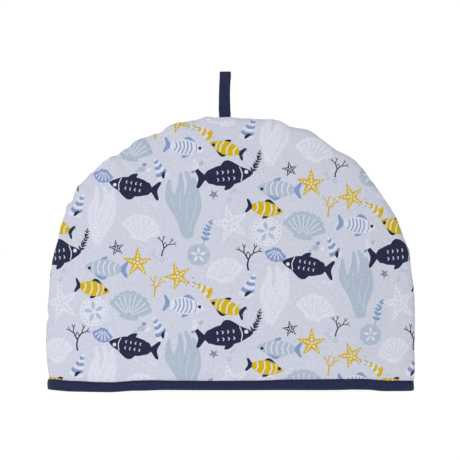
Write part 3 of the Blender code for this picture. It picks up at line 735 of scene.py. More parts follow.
def threads(name, middles, heads, ups, outs, long, wide, high, colour):
    """Short rounded threads that dive into the cloth at both ends, each in its own cell of the bake map."""
    shares = (-1.0, -0.78, -0.42, 0.0, 0.42, 0.78, 1.0)
    fat = (0.35, 0.86, 1.0, 1.0, 1.0, 0.86, 0.35)
    sink = (0.95, 0.42, 0.08, 0.0, 0.08, 0.42, 0.95)
    around, rings = 7, len(shares)
    cols = int(math.ceil(math.sqrt(0.5 * len(middles))))
    rows = int(math.ceil(len(middles) / cols))
    points, faces, places, uvs = [], [], [], []
    for n in range(len(middles)):
        base = len(points)
        cu, cv = (n % cols) / cols, (n // cols) / rows
        for t, f, d in zip(shares, fat, sink):
            for j in range(around):
                a = 2 * math.pi * j / around
                points.append(middles[n] + heads[n] * (t * 0.5 * long) + ups[n] * (wide * f * math.cos(a))
                              + outs[n] * (high * f * math.sin(a) - d * 1.25 * high))
                places.append((3.0 * n + t * 0.5 * long, 2.2 * a / math.pi, 7.0))
        for i in range(rings - 1):
            for j in range(around):
                a, b = base + i * around + j, base + i * around + (j + 1) % around
                faces.append((a, a + around, b + around, b))
                u0, u1 = cu + (0.06 + 0.74 * i / (rings - 1)) / cols, cu + (0.06 + 0.74 * (i + 1) / (rings - 1)) / cols
                v0, v1 = cv + (0.06 + 0.88 * j / around) / rows, cv + (0.06 + 0.88 * (j + 1) / around) / rows
                uvs.append(((u0, v0), (u1, v0), (u1, v1), (u0, v1)))
        for start, order, at in ((0, 1, 0.3), ((rings - 1) * around, -1, 0.7)):
            faces.append(tuple(base + start + j for j in range(around))[::order])
            uvs.append(tuple((cu + (0.90 + 0.05 * math.cos(2 * math.pi * j / around)) / cols,
                              cv + (at + 0.12 * math.sin(2 * math.pi * j / around)) / rows) for j in range(around))[::order])
    points = np.array(points)
    if volume(points, faces) < 0:
        faces, uvs = [f[::-1] for f in faces], [u[::-1] for u in uvs]
    corners = sum(len(f) for f in faces)
    return make_object(name, points, faces, None, np.array([c for u in uvs for c in u]), np.array(places),
                       np.repeat(np.array(colour)[None, :], corners, axis=0))


class Hem:
    """The hem's run round both panels, and the tape folded over it."""

    def __init__(self, front, back):
        out, inn, tags = [], [], []
        for flat in (front, back):
            seam, hem, _ = boundary(flat)
            u0, u1 = seam[0, 0], seam[-1, 0]
            n = int(abs(u1 - u0) / 1.25)
            t = np.linspace(0.0, 1.0, n)
            u = u0 + (u1 - u0) * t
            v = np.full_like(u, PANEL_FOOT + 0.4)
            q = np.stack([u, v], 1)
            a, b = flat.place(q), flat.place(q, False)
            tag = np.full(n, flat.side)
            if flat.side > 0:
                a, b, tag = a[::-1], b[::-1], tag[::-1]
            out.append(a[:, :2])
            inn.append(b[:, :2])
            tags.append(tag)
        self.out, self.inn, self.side = np.concatenate(out), np.concatenate(inn), np.concatenate(tags)
        # even steps along the outside
        nxt = np.roll(self.out, -1, axis=0)
        step = np.linalg.norm(nxt - self.out, axis=1)
        s = np.concatenate([[0.0], np.cumsum(step)])
        self.length = s[-1]
        count = int(self.length / 1.3)
        even = np.linspace(0.0, self.length, count, endpoint=False)

        def spaced(values):
            closed = np.concatenate([values, values[:1]])
            return np.stack([np.interp(even, s, closed[:, k]) for k in range(closed.shape[1])], 1)

        self.out, self.inn = spaced(self.out), spaced(self.inn)
        self.side = np.where(self.out[:, 1] < 0, -1.0, 1.0)
        self.s = even
        self.n_out = self.normal(self.out, 3)
        self.n_inn = self.normal(self.inn, 8)
        x = self.out[:, 0]
        self.up = np.where(self.side < 0, table(x, FRONT_HEM, "up"), table(x, BACK_HEM, "up"))
        self.high = np.where(self.side < 0, table(x, FRONT_TAPE, "high"), table(x, BACK_TAPE, "high"))

    @staticmethod
    def normal(line, rounds):
        t = np.roll(line, -1, axis=0) - np.roll(line, 1, axis=0)
        t /= np.maximum(np.linalg.norm(t, axis=1)[:, None], 1e-9)
        n = np.stack([-t[:, 1], t[:, 0]], 1)
        for _ in range(rounds):
            n = 0.25 * np.roll(n, 1, axis=0) + 0.5 * n + 0.25 * np.roll(n, -1, axis=0)
        return n / np.maximum(np.linalg.norm(n, axis=1)[:, None], 1e-9)

    def point(self, share, offset, height):
        """A line of the tape: share 0 lies on the outside of the hem and 1 on the inside."""
        offset = np.broadcast_to(offset, self.s.shape)
        xy = ((self.out + self.n_out * offset[:, None]) * (1.0 - share)
              + (self.inn + self.n_inn * offset[:, None]) * share)
        if share > 0.9:
            x, y = xy[:, 0], xy[:, 1]
            y = np.where(self.side < 0, np.minimum(y, -0.10), np.maximum(y, 0.10))
            xy = np.stack([x, y], 1)
        z = self.up + height
        return np.stack([xy[:, 0], xy[:, 1], z], 1)

    def bulge(self, height):
        """How far the tape stands off the cloth outside, at a height over its foot."""
        h, s, top = height, self.s, self.high
        t = np.clip(h / top, 0.0, 1.0)
        puff = 1.10 + 0.34 * np.sin(math.pi * np.clip(0.1 + 0.86 * t, 0, 1)) ** 0.8
        ripples = 0.13 * np.sin(2 * math.pi * (s + 0.8 * h) / 8.6 + 1.2 * np.sin(s / 13.0)) * np.sin(math.pi * t) ** 0.7
        loose = 0.12 * noise_along(s, 31.0, 4.0)
        line = top - 1.55
        dip = 0.42 * np.exp(-((h - line) / 0.55) ** 2) * (0.8 + 0.2 * np.sin(2 * math.pi * s / 3.0))
        return puff + ripples + loose - dip

    def sections(self):
        top = self.high
        rows, painted_shade_tones = [], []

        def add(share, offset, height):
            """A line of the tape, darkened by painted shade near the rounded fold at its top, and a little lighter
            towards its foot.
            """
            height = np.broadcast_to(height, self.s.shape)
            rows.append(self.point(share, offset, height))
            below = top - height
            # painted shade: darker over the top 0.9 to 2.3 mm of the tape, where its fold rounds over; a little lighter
            # near the foot
            painted_shade_tones.append(1.07 - 0.27 * (1.0 - smooth(0.9, 2.3, below)) + 0.05 * (1.0 - smooth(0.5, 3.0, height)))

        # outside, from the foot up to the fold
        for h in (0.55, 1.0, 1.7, 2.6, 3.6, 4.6, 5.6):
            lean = 1.0 if h > 1.2 else (0.86 if h > 0.8 else 0.68)
            add(0.0, self.bulge(np.full_like(self.s, h)) * lean, h)
        for below in (3.0, 2.45, 2.05, 1.8, 1.55, 1.3, 1.05, 0.75):
            add(0.0, self.bulge(top - below), top - below)
        add(0.0, 0.96, top - 0.42)
        add(0.0, 0.82, top - 0.16)
        add(0.0, 0.58, top)
        add(0.0, 0.34, top - 0.08)
        add(0.0, 0.20, top - 0.35)
        # the face towards the cloth, down, under and up again
        for h in (7.0, 4.4, 2.0):
            add(0.0, 0.13, h)
        add(0.0, 0.02, 1.25)
        add(0.5, 0.0, 1.1)
        add(1.0, -0.02, 1.25)
        inside = top - 0.55
        for h in (2.0, 4.4, 7.0):
            add(1.0, -0.16, h)
        add(1.0, -0.24, inside - 0.35)
        add(1.0, -0.40, inside - 0.06)
        add(1.0, -0.62, inside)
        add(1.0, -0.86, inside - 0.16)
        add(1.0, -1.0, inside - 0.45)
        for below in (0.9, 1.4, 1.9, 2.6):
            dip = 0.30 * math.exp(-((below - 1.4) / 0.5) ** 2)
            add(1.0, -1.08 + dip, inside - below)
        for h in (5.2, 3.6, 2.0, 1.1):
            add(1.0, -1.14 + 0.08 * np.sin(2 * math.pi * (self.s + h) / 9.4), h)
        add(1.0, -0.86, 0.42)
        add(0.86, -0.2, 0.10)
        add(0.5, 0.0, 0.0)
        add(0.14, 0.2, 0.08)
        return np.stack(rows, 1), np.stack(painted_shade_tones, 1)


def spline(rows, column, share):
    """A table's column at shares of the height, on a smooth curve through its rows."""
    xs = np.array([r.share for r in rows])
    ys = np.array([getattr(r, column) for r in rows])
    out = []
    for s in np.atleast_1d(share):
        i = int(np.clip(np.searchsorted(xs, s) - 1, 0, len(xs) - 2))
        f = (s - xs[i]) / (xs[i + 1] - xs[i])
        a, b, c, d = ys[max(0, i - 1)], ys[i], ys[i + 1], ys[min(len(ys) - 1, i + 2)]
        out.append(0.5 * (2 * b + (c - a) * f + (2 * a - 5 * b + 4 * c - d) * f * f + (3 * b - a - 3 * c + d) * f ** 3))
    return np.array(out)


class Loop:
    """The hanging loop's middle line: foot, front leg, bend, back leg, foot."""

    def __init__(self):
        rise = LOOP_TOP - DOME_TOP
        low = (LOOP_FOOT - DOME_TOP) / rise
        share = np.linspace(low, LOOP_ROWS[-1].share, 56)
        gap = np.maximum(0.15, spline(LOOP_ROWS, "gap", share))
        shift, width = spline(LOOP_ROWS, "shift", share), spline(LOOP_ROWS, "width", share)
        y = gap + 0.6
        z = DOME_TOP + rise * share
        bend = y[-1]
        middle = LOOP_TOP - bend - 0.6
        turn = np.linspace(0.0, math.pi, 26)[1:-1]
        self.y = np.concatenate([-y, -bend * np.cos(turn), y[::-1]])
        self.z = np.concatenate([z, middle + bend * np.sin(turn) + 0.3 * np.sin(turn) ** 4, z[::-1]])
        hold = np.full(len(turn), 1.0)
        self.shift = np.concatenate([shift, hold * shift[-1], shift[::-1]])
        self.width = np.concatenate([width, hold * width[-1], width[::-1]])
        step = np.hypot(np.diff(self.y), np.diff(self.z))
        self.s = np.concatenate([[0.0], np.cumsum(step)])
        ty, tz = np.gradient(self.y, self.s), np.gradient(self.z, self.s)
        size = np.hypot(ty, tz)
        self.ty, self.tz = ty / size, tz / size
        # out of the loop: away from its gap
        self.oy, self.oz = -self.tz, self.ty

    def point(self, across, out):
        """across is from the middle line to the right, out is away from the gap, in mm."""
        x = LOOP_X + self.shift + across
        return np.stack([x, self.y + self.oy * out, self.z + self.oz * out], 1)

    def sections(self):
        half = self.half()
        rows, place, painted_shade_tones = [], [], []
        # painted shade: the strap is darkened over the top of its bend
        folded = 1.0 - 0.16 * smooth(LOOP_TOP - 1.9, LOOP_TOP - 0.7, self.z)

        def add(across, out):
            """A line of the strap, darkened by painted shade along its edges and over its bend."""
            out = np.broadcast_to(out, self.s.shape)
            rows.append(self.point(across, out))
            place.append(np.stack([self.s, across + 30.0 * (out > 0), np.full(len(self.s), 20.0)], 1))
            painted_shade_tones.append((1.06 - 0.28 * (1.0 - smooth(0.5, 1.5, half - np.abs(across)))) * folded)

        def face(side):
            """Points across one face, from the folded edge on the left to the open one."""
            for t in (0.30, 0.62, 1.1, 2.0, 3.2, 4.4, 5.6, 6.6, 7.4, 7.85, 8.15, 8.45, 8.85, 9.35, 9.65):
                across = -half + t * (2 * half) / 9.95
                dip = 0.20 * math.exp(-((t - 8.15) / 0.34) ** 2)
                low = {0.30: 0.24, 0.62: 0.08, 9.65: 0.20}.get(t, 0.0)
                soft = 0.06 * np.sin(2 * math.pi * self.s / 11.0 + 0.5 * t + side) + 0.05 * math.sin(t * 0.9)
                yield across, side * (0.60 - dip - low + soft * (0.5 if low else 1.0))

        for across, out in face(1):
            add(across, out)
        add(half, 0.26)
        add(half - 0.02, 0.12)
        add(half - 0.42, 0.0)
        add(half - 0.02, -0.12)
        add(half, -0.26)
        for across, out in reversed(list(face(-1))):
            add(across, out)
        add(-half, -0.18)
        add(-half - 0.04, 0.0)
        add(-half, 0.18)
        return np.stack(rows, 1), np.stack(place, 1), np.stack(painted_shade_tones, 1)

    def half(self):
        """Half the strap's width, a little uneven."""
        return 0.5 * self.width + 0.34 + 0.06 * noise_along(self.s, 23.0, 2.0)


# ================================================================ the print
# A generic sea-life repeat.  A motif is a list of (ink, outline) in mm, lowest first.
def wobble(seed, i, amount):
    """A small repeatable unevenness, as of a hand-cut printing block."""
    return amount * (math.sin(seed * 12.9898 + i * 1.7) + 0.6 * math.sin(seed * 4.1 + i * 3.1))


def along(points, steps):
    """A smooth curve through the points: (x, y, heading) at even shares."""
    out = []
    n = len(points) - 1
    for k in range(steps + 1):
        t = n * k / steps
        i = min(n - 1, int(t))
        f = t - i
        p = [points[max(0, i - 1)], points[i], points[i + 1], points[min(n, i + 2)]]
        xy, d = [], []
        for a, b, c, e in zip(*p):
            xy.append(0.5 * (2 * b + (c - a) * f + (2 * a - 5 * b + 4 * c - e) * f * f
                             + (3 * b - a - 3 * c + e) * f ** 3))
            d.append(0.5 * ((c - a) + 2 * (2 * a - 5 * b + 4 * c - e) * f
                            + 3 * (3 * b - a - 3 * c + e) * f * f))
        out.append((xy[0], xy[1], math.atan2(d[1], d[0])))
    return out


def stroke(points, start, end, steps=8, rounded=False):
    """A line that runs from one width to another."""
    left, right = [], []
    line = along(points, steps)
    for k, (x, y, a) in enumerate(line):
        w = 0.5 * (start + (end - start) * k / steps)
        left.append((x - w * math.sin(a), y + w * math.cos(a)))
        right.append((x + w * math.sin(a), y - w * math.cos(a)))
    cap = []
    if rounded:
        x, y, a = line[-1]
        w = 0.5 * end
        for k in (1, 2, 3):
            b = a + math.pi / 2 - k * math.pi / 4
            cap.append((x + w * math.cos(b), y + w * math.sin(b)))
    return left + cap + right[::-1]


def curved(points, steps=4):
    """A closed outline through the same points, its sides bowed into curves."""
    out = []
    n = len(points)
    for k in range(n):
        a, b, c, d = (Vector(points[i % n]) for i in (k - 1, k, k + 1, k + 2))
        ab, bc, cd = (max((v - u).length, 1e-4) ** 0.5 for u, v in ((a, b), (b, c), (c, d)))
        m = (c - b) + bc * ((b - a) / ab - (c - a) / (ab + bc))
        q = (c - b) + bc * ((d - c) / cd - (d - b) / (bc + cd))
        for j in range(steps):
            t = j / steps
            p = (b * (2 * t ** 3 - 3 * t ** 2 + 1) + m * (t ** 3 - 2 * t ** 2 + t)
                 + c * (3 * t ** 2 - 2 * t ** 3) + q * (t ** 3 - t ** 2))
            out.append((p.x, p.y))
    return out


def turned(shape, angle, x=0.0, y=0.0, size=1.0):
    """The shape turned anticlockwise by an angle in degrees, then moved."""
    ca, sa = size * math.cos(math.radians(angle)), size * math.sin(math.radians(angle))
    return [(x + px * ca - py * sa, y + px * sa + py * ca) for px, py in shape]


def blade(length, width, bend=0.15, steps=8, blunt=0.8, fat=0.85, seed=1.0):
    """A leaf shape from (0, 0) along +X."""
    left, right = [], []
    for k in range(steps + 1):
        t = k / steps
        w = 0.0
        if 0 < t < 1:
            w = 0.5 * width * math.sin(math.pi * t ** blunt) ** fat + wobble(seed, k, 0.02 * width)
        off = 0.5 * bend * length * math.sin(math.pi * t)
        left.append((t * length, off + w))
        if 0 < t < 1:
            right.append((t * length, off - w))
    return left + right[::-1]


def leaf(x, y, angle, length, width, bend=0.15, steps=7, blunt=0.8, seed=1.0):
    return turned(blade(length, width, bend, steps, blunt, 0.85, seed), angle, x, y)


def disc(x, y, r, n=12, squash=1.0, turn=0.0, seed=0.0):
    shape = []
    for k in range(n):
        a = 2 * math.pi * k / n
        rr = r + wobble(seed, k, 0.02 * r)
        shape.append((rr * math.cos(a), squash * rr * math.sin(a)))
    return turned(shape, turn, x, y)


def scallop(radius, ink, rib, ribs, seed, ear=None):
    """A fan with a lobed rim and ribs, its hinge at (0, 0)."""
    out = [(ear or ink, [(-0.34 * radius, -0.02 * radius), (-0.30 * radius, 0.20 * radius), (0.0, 0.26 * radius),
                         (0.31 * radius, 0.19 * radius), (0.34 * radius, -0.03 * radius), (0.0, -0.07 * radius)])]
    low, high = 24.0, 156.0
    steps = ribs * 5
    rim = []
    for k in range(steps + 1):
        t = k / steps
        a = math.radians(low + (high - low) * t)
        lobe = abs(math.sin(math.pi * ribs * t))
        r = radius * (1.0 - 0.13 * math.cos(a) ** 2) * (0.95 + 0.055 * lobe ** 0.7) + wobble(seed, k // 5, 0.008 * radius)
        rim.append((r * math.cos(a), r * math.sin(a)))
    out.append((ink, rim + [(-0.52 * radius, 0.20 * radius), (-0.2 * radius, 0.02 * radius),
                                               (0.2 * radius, 0.02 * radius), (0.52 * radius, 0.20 * radius)]))
    for k in range(1, ribs):
        a = math.radians(low + (high - low) * k / ribs)
        r = radius * (1.0 - 0.13 * math.cos(a) ** 2) * 0.86
        s = 0.22 * radius
        out.append((rib, stroke([(s * math.cos(a) * 0.55, s * math.sin(a)), (0.5 * r * math.cos(a) * 0.97, 0.5 * r * math.sin(a) * 1.01),
                                 (r * math.cos(a), r * math.sin(a))], 0.55, 1.15, 5)))
    return out


def turret(length, width, inks, mouth, seed):
    """A tall coiled cone of rounded bands, its point upwards."""
    out = []
    bands = 7
    y = 0.0
    for k in range(bands):
        s = 1.0 - k / (bands + 0.6)
        h = 1.5 * length / bands * (0.45 + 0.6 * s)
        w = width * s
        shape = []
        for i in range(12):
            a = 2 * math.pi * i / 12
            p = 0.78
            px = 0.5 * w * math.copysign(abs(math.cos(a)) ** p, math.cos(a))
            py = 0.5 * h * math.copysign(abs(math.sin(a)) ** p, math.sin(a))
            shape.append((px, py + 0.16 * px + wobble(seed + k, i, 0.012 * width)))
        out.append((inks[k % len(inks)], [(px, py + y) for px, py in shape]))
        y += h * 0.62
    out.append((mouth, turned(blade(0.30 * length, 0.24 * width, 0.2, 8, 0.9, 0.9, seed), 60, -0.02 * width, -0.20 * width)))
    return out


def fish(length, depth, body, fin, stripe, eye, seed, stripes=0, scales=0):
    """A plain fish, nose towards +X, with fins, gill and stripes."""
    out = []
    d = depth
    tail = [(0.10 * length, 0.0), (0.0, 0.16 * d), (-0.15 * length, 0.50 * d), (-0.19 * length, 0.46 * d),
            (-0.125 * length, 0.02 * d), (-0.18 * length, -0.42 * d), (-0.14 * length, -0.46 * d), (0.0, -0.15 * d)]
    back = [(0.34 * length, 0.36 * d), (0.42 * length, 0.66 * d), (0.52 * length, 0.70 * d),
            (0.66 * length, 0.52 * d), (0.74 * length, 0.34 * d), (0.54 * length, 0.30 * d)]
    belly = [(0.44 * length, -0.38 * d), (0.38 * length, -0.66 * d), (0.50 * length, -0.62 * d), (0.60 * length, -0.38 * d),
             (0.52 * length, -0.32 * d)]
    for shape in (tail, back, belly):
        out.append((fin, curved(shape)))
    top, bottom = [], []
    steps = 14
    for k in range(steps + 1):
        t = k / steps
        w = 0.5 * d * (math.sin(math.pi * t ** 0.82) ** 0.72 if 0 < t < 1 else 0.0) + (0.07 * d if t < 0.1 else 0.0)
        top.append((t * length, 1.02 * w + wobble(seed, k, 0.008 * d)))
        bottom.append((t * length, -0.96 * w + wobble(seed, k + 20, 0.008 * d)))
    out.append((body, curved(top + bottom[:0:-1], 3)))
    for k in range(stripes):
        x = length * (0.16 + 0.44 * k / max(1, stripes - 1))
        t = x / length
        w = 0.5 * d * math.sin(math.pi * t ** 0.82) ** 0.72 * 0.84
        out.append((stripe, stroke([(x - 0.02 * length, -w), (x + 0.035 * length, 0.0), (x - 0.02 * length, w)], 1.25, 1.25, 8)))
    for k in range(scales):
        t = 0.26 + 0.11 * (k // 2)
        y = 0.16 * d * (1 if k % 2 else -1)
        out.append((stripe, stroke([(t * length, y - 0.07 * d), (t * length + 1.1, y), (t * length, y + 0.07 * d)], 0.75, 0.75, 4)))
    out.append((stripe, stroke([(0.735 * length, -0.33 * d), (0.775 * length, 0.0), (0.735 * length, 0.34 * d)], 0.85, 0.85, 7)))
    out.append((eye, disc(0.862 * length, 0.08 * d, 1.2 + 0.012 * length, 16, 1.0, 0.0, seed)))
    return out


def starfish(radius, ink, dot, seed, thin=0.62):
    out = []
    shape = []
    n = 60
    for k in range(n):
        a = 2 * math.pi * k / n
        arm = abs(math.sin(2.5 * a)) ** 1.15
        r = radius * (1.0 - thin * arm ** 0.62)
        r *= 1.0 + 0.05 * math.sin(3.0 * seed + 5 * k // n)
        shape.append((r * math.cos(a + math.pi / 2), r * math.sin(a + math.pi / 2)))
    out.append((ink, shape))
    for arm in range(5):
        a = math.pi / 2 + 2 * math.pi * arm / 5
        for k in range(3):
            r = radius * (0.24 + 0.2 * k)
            out.append((dot, disc(r * math.cos(a), r * math.sin(a), 0.075 * radius * (1.0 - 0.2 * k) + 0.12, 7)))
    out.append((dot, disc(0, 0, 0.08 * radius + 0.1, 8)))
    return out


def sprig(height, pairs, size, width, ink, stem, curve, seed, tip=True, rise=48.0, blunt=0.8):
    """A stem with pairs of blades that get smaller upwards."""
    spine = [(0, 0), (curve * 0.5, height * 0.35), (curve, height * 0.7), (curve * 0.8, height)]
    out = [(stem, stroke(spine, 1.2, 0.6, 12))]
    line = along(spine, 40)
    for k in range(pairs):
        t = 0.22 + 0.66 * k / max(1, pairs - 1)
        x, y, a = line[int(40 * t)]
        s = size * (1.0 - 0.42 * t + wobble(seed, k, 0.05))
        for side in (1, -1):
            out.append((ink, leaf(x, y, math.degrees(a) + side * (rise + 6 * math.sin(seed + k * 2.3 + side)), s,
                                  width * s / size, -0.2 * side, 8, blunt, seed + k + side)))
    if tip:
        x, y, a = line[-1]
        out.append((ink, leaf(x, y - 0.5, math.degrees(a), size * 0.62, width * 0.62, 0.05, 7, blunt, seed)))
    return out


def kelp(height, ribbons, width, ink, line, seed, lean=9.0):
    """Long waving ribbons from one rounded foot, each with a midrib."""
    out = [(ink, disc(0.0, 0.3, 0.28 * width + ribbons - 1, 18, 0.42, 0.0, seed))]
    for k in range(ribbons):
        c = k - (ribbons - 1) / 2
        h = height * (1.0 - 0.11 * abs(c) + 0.04 * math.sin(seed + 3 * k))
        spine = []
        for i in range(7):
            t = i / 6
            sway = (2.4 + 1.2 * t) * math.sin(2.1 * math.pi * t + seed + 1.3 * k) * (0.3 + t)
            spine.append((c * (2.0 + lean * t ** 1.2) + sway, h * t))
        steps = 26
        curve = along(spine, steps)
        left, right = [], []
        for j, (x, y, a) in enumerate(curve):
            t = j / steps
            w = 0.5 * width * (0.28 + 0.85 * math.sin(math.pi * min(1.0, 0.08 + 0.90 * t)) ** 0.8) * (1 - 0.25 * t)
            w *= 1.0 + 0.10 * math.sin(11.0 * t + seed + k)
            left.append((x - w * math.sin(a), y + w * math.cos(a)))
            right.append((x + w * math.sin(a), y - w * math.cos(a)))
        x, y, a = curve[-1]
        out.append((ink, left + [(x + 1.6 * math.cos(a), y + 1.6 * math.sin(a))] + right[::-1]))
        if line:
            out.append((line, stroke([(p[0], p[1]) for p in curve[2:22:4]], 0.75, 0.5, 12)))
    return out


def coral(height, ink, seed, thick=2.4):
    """Branching stems with round ends."""
    out = []

    def grow(x, y, a, length, w, depth, s):
        b = a + 0.16 * math.sin(s * 5.1)
        ex, ey = x + length * math.cos(b), y + length * math.sin(b)
        mx, my = x + 0.5 * length * math.cos(a), y + 0.5 * length * math.sin(a)
        out.append((ink, stroke([(x, y), (mx, my), (ex, ey)], w, 0.82 * w, 5, True)))
        if depth:
            for side in (1, -1):
                grow(ex, ey, b + side * (0.50 + 0.10 * math.sin(s + side)), length * (0.70 + 0.06 * math.sin(2 * s + side)),
                     0.80 * w, depth - 1, s + 1.7 * side + depth)
            if depth == 2:
                grow(mx, my, a + 0.85 * (1 if math.sin(s) > 0 else -1), 0.55 * length, 0.7 * w, 0, s + 0.5)

    grow(0, 0, math.pi / 2 + 0.05, 0.36 * height, thick, 3, seed)
    return out


def dollar(radius, ink, mark, dot, seed):
    """A flat round urchin with five petals marked on it."""
    out = [(ink, disc(0, 0, radius, 30, 0.96, 0.0, seed))]
    for k in range(5):
        a = 90 + 72 * k
        out.append((mark, leaf(0.10 * radius * math.cos(math.radians(a)), 0.10 * radius * math.sin(math.radians(a)), a,
                               0.62 * radius, 0.26 * radius, 0.0, 9, 1.05, seed + k)))
    for k in range(20):
        a = 2 * math.pi * (k + 0.5) / 20
        r = 0.84 * radius
        out.append((dot, disc(r * math.cos(a), 0.96 * r * math.sin(a), 0.42, 6)))
    return out


def pebbles(seed, inks):
    out = []
    for k, (x, y, r, s) in enumerate(((0, 0, 5.2, 0.68), (8.6, -1.2, 3.5, 0.74), (3.6, 6.0, 3.0, 0.8), (-6.6, -3.2, 2.3, 0.8))):
        out.append((inks[k % len(inks)], disc(x, y, r, 14, s, 18 * math.sin(seed + k), seed + k)))
    return out


def bubbles(seed, ink, hole, count=5):
    out = []
    for k in range(count):
        x = 3.1 * math.sin(seed + 2.1 * k)
        y = 4.6 * k - 2.0 * math.cos(seed + k)
        r = 2.3 - 0.26 * k + 0.3 * math.sin(seed + 3 * k)
        out.append((ink, disc(x, y, r, 12)))
        if hole:
            out.append((hole, disc(x, y, 0.58 * r, 10)))
    return out


def specks(seed, ink, count=6):
    out = []
    for k in range(count):
        a = seed + 2.4 * k
        r = 1.6 + 1.35 * k ** 0.8
        out.append((ink, disc(r * math.cos(a), r * math.sin(a), 0.62 + 0.16 * math.sin(seed + 3 * k), 7, 0.8, 40 * k)))
    return out


MOTIFS = {
    "scallop_aqua": lambda: scallop(29, "aqua", "white", 9, 0.4),
    "scallop_white": lambda: scallop(24, "white", "ground", 8, 1.4),
    "scallop_mid": lambda: scallop(13, "mid", "white", 6, 2.0),
    "turret": lambda: turret(30, 15, ("white", "mid"), "navy", 0.6),
    "turret_mustard": lambda: turret(20, 9.5, ("mustard", "white"), "mustard", 1.6),
    "fish_navy": lambda: fish(42, 19, "navy", "navy", "white", "white", 0.3, 0, 8),
    "fish_mustard": lambda: fish(27, 12.5, "mustard", "navy", "white", "navy", 1.2, 3),
    "fish_striped": lambda: fish(33, 16, "white", "mid", "mid", "navy", 2.2, 5),
    "fish_aqua": lambda: fish(38, 17, "aqua", "mid", "white", "navy", 3.1, 4),
    "star_mustard": lambda: starfish(13.5, "mustard", "white", 0.5),
    "star_white": lambda: starfish(21, "white", "ground", 1.7, 0.60),
    "star_navy": lambda: starfish(8, "navy", "white", 2.7),
    "kelp_aqua": lambda: kelp(72, 4, 11.0, "aqua", "ground", 0.4),
    "kelp_white": lambda: kelp(60, 3, 11.0, "white", "ground", 1.9, 11.0),
    "sprig_navy": lambda: sprig(40, 7, 9.5, 3.3, "navy", "navy", 5, 0.5, True, 40.0, 0.9),
    "sprig_mid": lambda: sprig(31, 5, 8.0, 4.6, "mid", "mid", -4, 1.4, True, 55.0, 1.1),
    "coral_navy": lambda: coral(34, "navy", 0.9, 2.1),
    "coral_mustard": lambda: coral(25, "mustard", 2.4, 1.9),
    "dollar": lambda: dollar(14.5, "white", "aqua", "navy", 0.9),
    "dollar_aqua": lambda: dollar(12, "aqua", "white", "white", 1.9),
    "pebbles": lambda: pebbles(0.3, ("aqua", "white", "mid", "aqua")),
    "pebbles_white": lambda: pebbles(1.3, ("white", "aqua", "white", "mid")),
    "bubbles": lambda: bubbles(0.3, "white", "ground"),
    "bubbles_aqua": lambda: bubbles(1.6, "aqua", "ground", 4),
    "specks": lambda: specks(0.3, "navy"),
    "specks_mid": lambda: specks(1.3, "mid", 5),
}

# The repeat: its next column drops by half its height.
REPEAT_W, REPEAT_H = 164.0, 152.0
# motif, middle x, y in mm, turn in degrees anticlockwise, size
REPEAT = [
    ("kelp_aqua", 22.0, 42.0, 6.0, 0.9),
    ("kelp_white", 107.0, 108.0, -8.0, 0.94),
    ("star_white", 66.0, 25.0, 14.0, 0.92),
    ("scallop_aqua", 136.0, 22.0, -12.0, 0.9),
    ("scallop_white", 60.0, 131.0, 14.0, 0.95),
    ("scallop_white", 146.0, 96.0, -16.0, 1.0),
    ("dollar", 100.0, 16.0, 10.0, 1.0),
    ("dollar_aqua", 36.0, 146.0, 0.0, 0.9),
    ("fish_navy", 60.0, 70.0, 6.0, 1.1),
    ("fish_navy", 139.0, 135.0, 170.0, 1.0),
    ("fish_aqua", 112.0, 57.0, 176.0, 0.95),
    ("fish_striped", 22.0, 98.0, -8.0, 1.0),
    ("fish_mustard", 98.0, 38.0, -10.0, 1.12),
    ("fish_mustard", 63.0, 96.5, 160.0, 1.1),
    ("star_mustard", 142.0, 64.0, 0.0, 1.1),
    ("star_mustard", 16.0, 127.0, 20.0, 1.05),
    ("star_navy", 122.0, 77.0, 10.0, 1.0),
    ("turret", 84.0, 117.0, -24.0, 0.95),
    ("turret", -1.5, 76.5, 24.0, 0.9),
    ("turret_mustard", 40.0, 114.0, 56.0, 1.15),
    ("sprig_navy", 90.0, 82.0, -16.0, 0.62),
    ("sprig_mid", 44.0, 16.0, -24.0, 0.72),
    ("coral_navy", 84.0, 144.0, 6.0, 0.85),
    ("coral_mustard", 160.5, 40.0, -6.0, 0.92),
    ("scallop_mid", 108.0, 146.0, 166.0, 1.0),
    ("pebbles", 147.0, 1.5, 0.0, 0.74),
    ("pebbles_white", 33.0, 80.0, 40.0, 0.75),
    ("bubbles", 150.0, 118.0, 84.0, 0.9),
    ("bubbles_aqua", 68.0, 51.0, -50.0, 0.85),
    ("specks", 30.0, 120.0, 0.0, 1.0),
    ("specks_mid", 78.0, 94.0, 0.0, 1.0),
    ("coral_navy", 5.0, 2.0, -10.0, 0.66),
    ("bubbles_aqua", 161.0, 69.0, 30.0, 0.9),
    ("star_navy", 50.0, 52.0, 30.0, 0.62),
]


def centred(shapes):
    xs = [p[0] for _, s in shapes for p in s]
    ys = [p[1] for _, s in shapes for p in s]
    cx, cy = 0.5 * (min(xs) + max(xs)), 0.5 * (min(ys) + max(ys))
    return [(ink, [(x - cx, y - cy) for x, y in s]) for ink, s in shapes]


def repeat_shapes(x0, x1, y0, y1, shift_x, shift_y):
    """All outlines of the print that touch a rectangle of cloth, lowest first."""
    made = {name: centred(make()) for name, make in MOTIFS.items()}
    out = []
    for name, mx, my, turn, size in REPEAT:
        for ci in range(int((x0 - shift_x) // REPEAT_W) - 1, int((x1 - shift_x) // REPEAT_W) + 2):
            for ri in range(int((y0 - shift_y) // REPEAT_H) - 2, int((y1 - shift_y) // REPEAT_H) + 2):
                bx = shift_x + ci * REPEAT_W + mx
                by = shift_y + ri * REPEAT_H + (0.5 * REPEAT_H if ci % 2 else 0.0) + my
                for ink, shape in made[name]:
                    pts = turned(shape, turn, bx, by, size)
                    if (max(p[0] for p in pts) > x0 and min(p[0] for p in pts) < x1
                            and max(p[1] for p in pts) > y0 and min(p[1] for p in pts) < y1):
                        out.append((ink, pts))
    return out


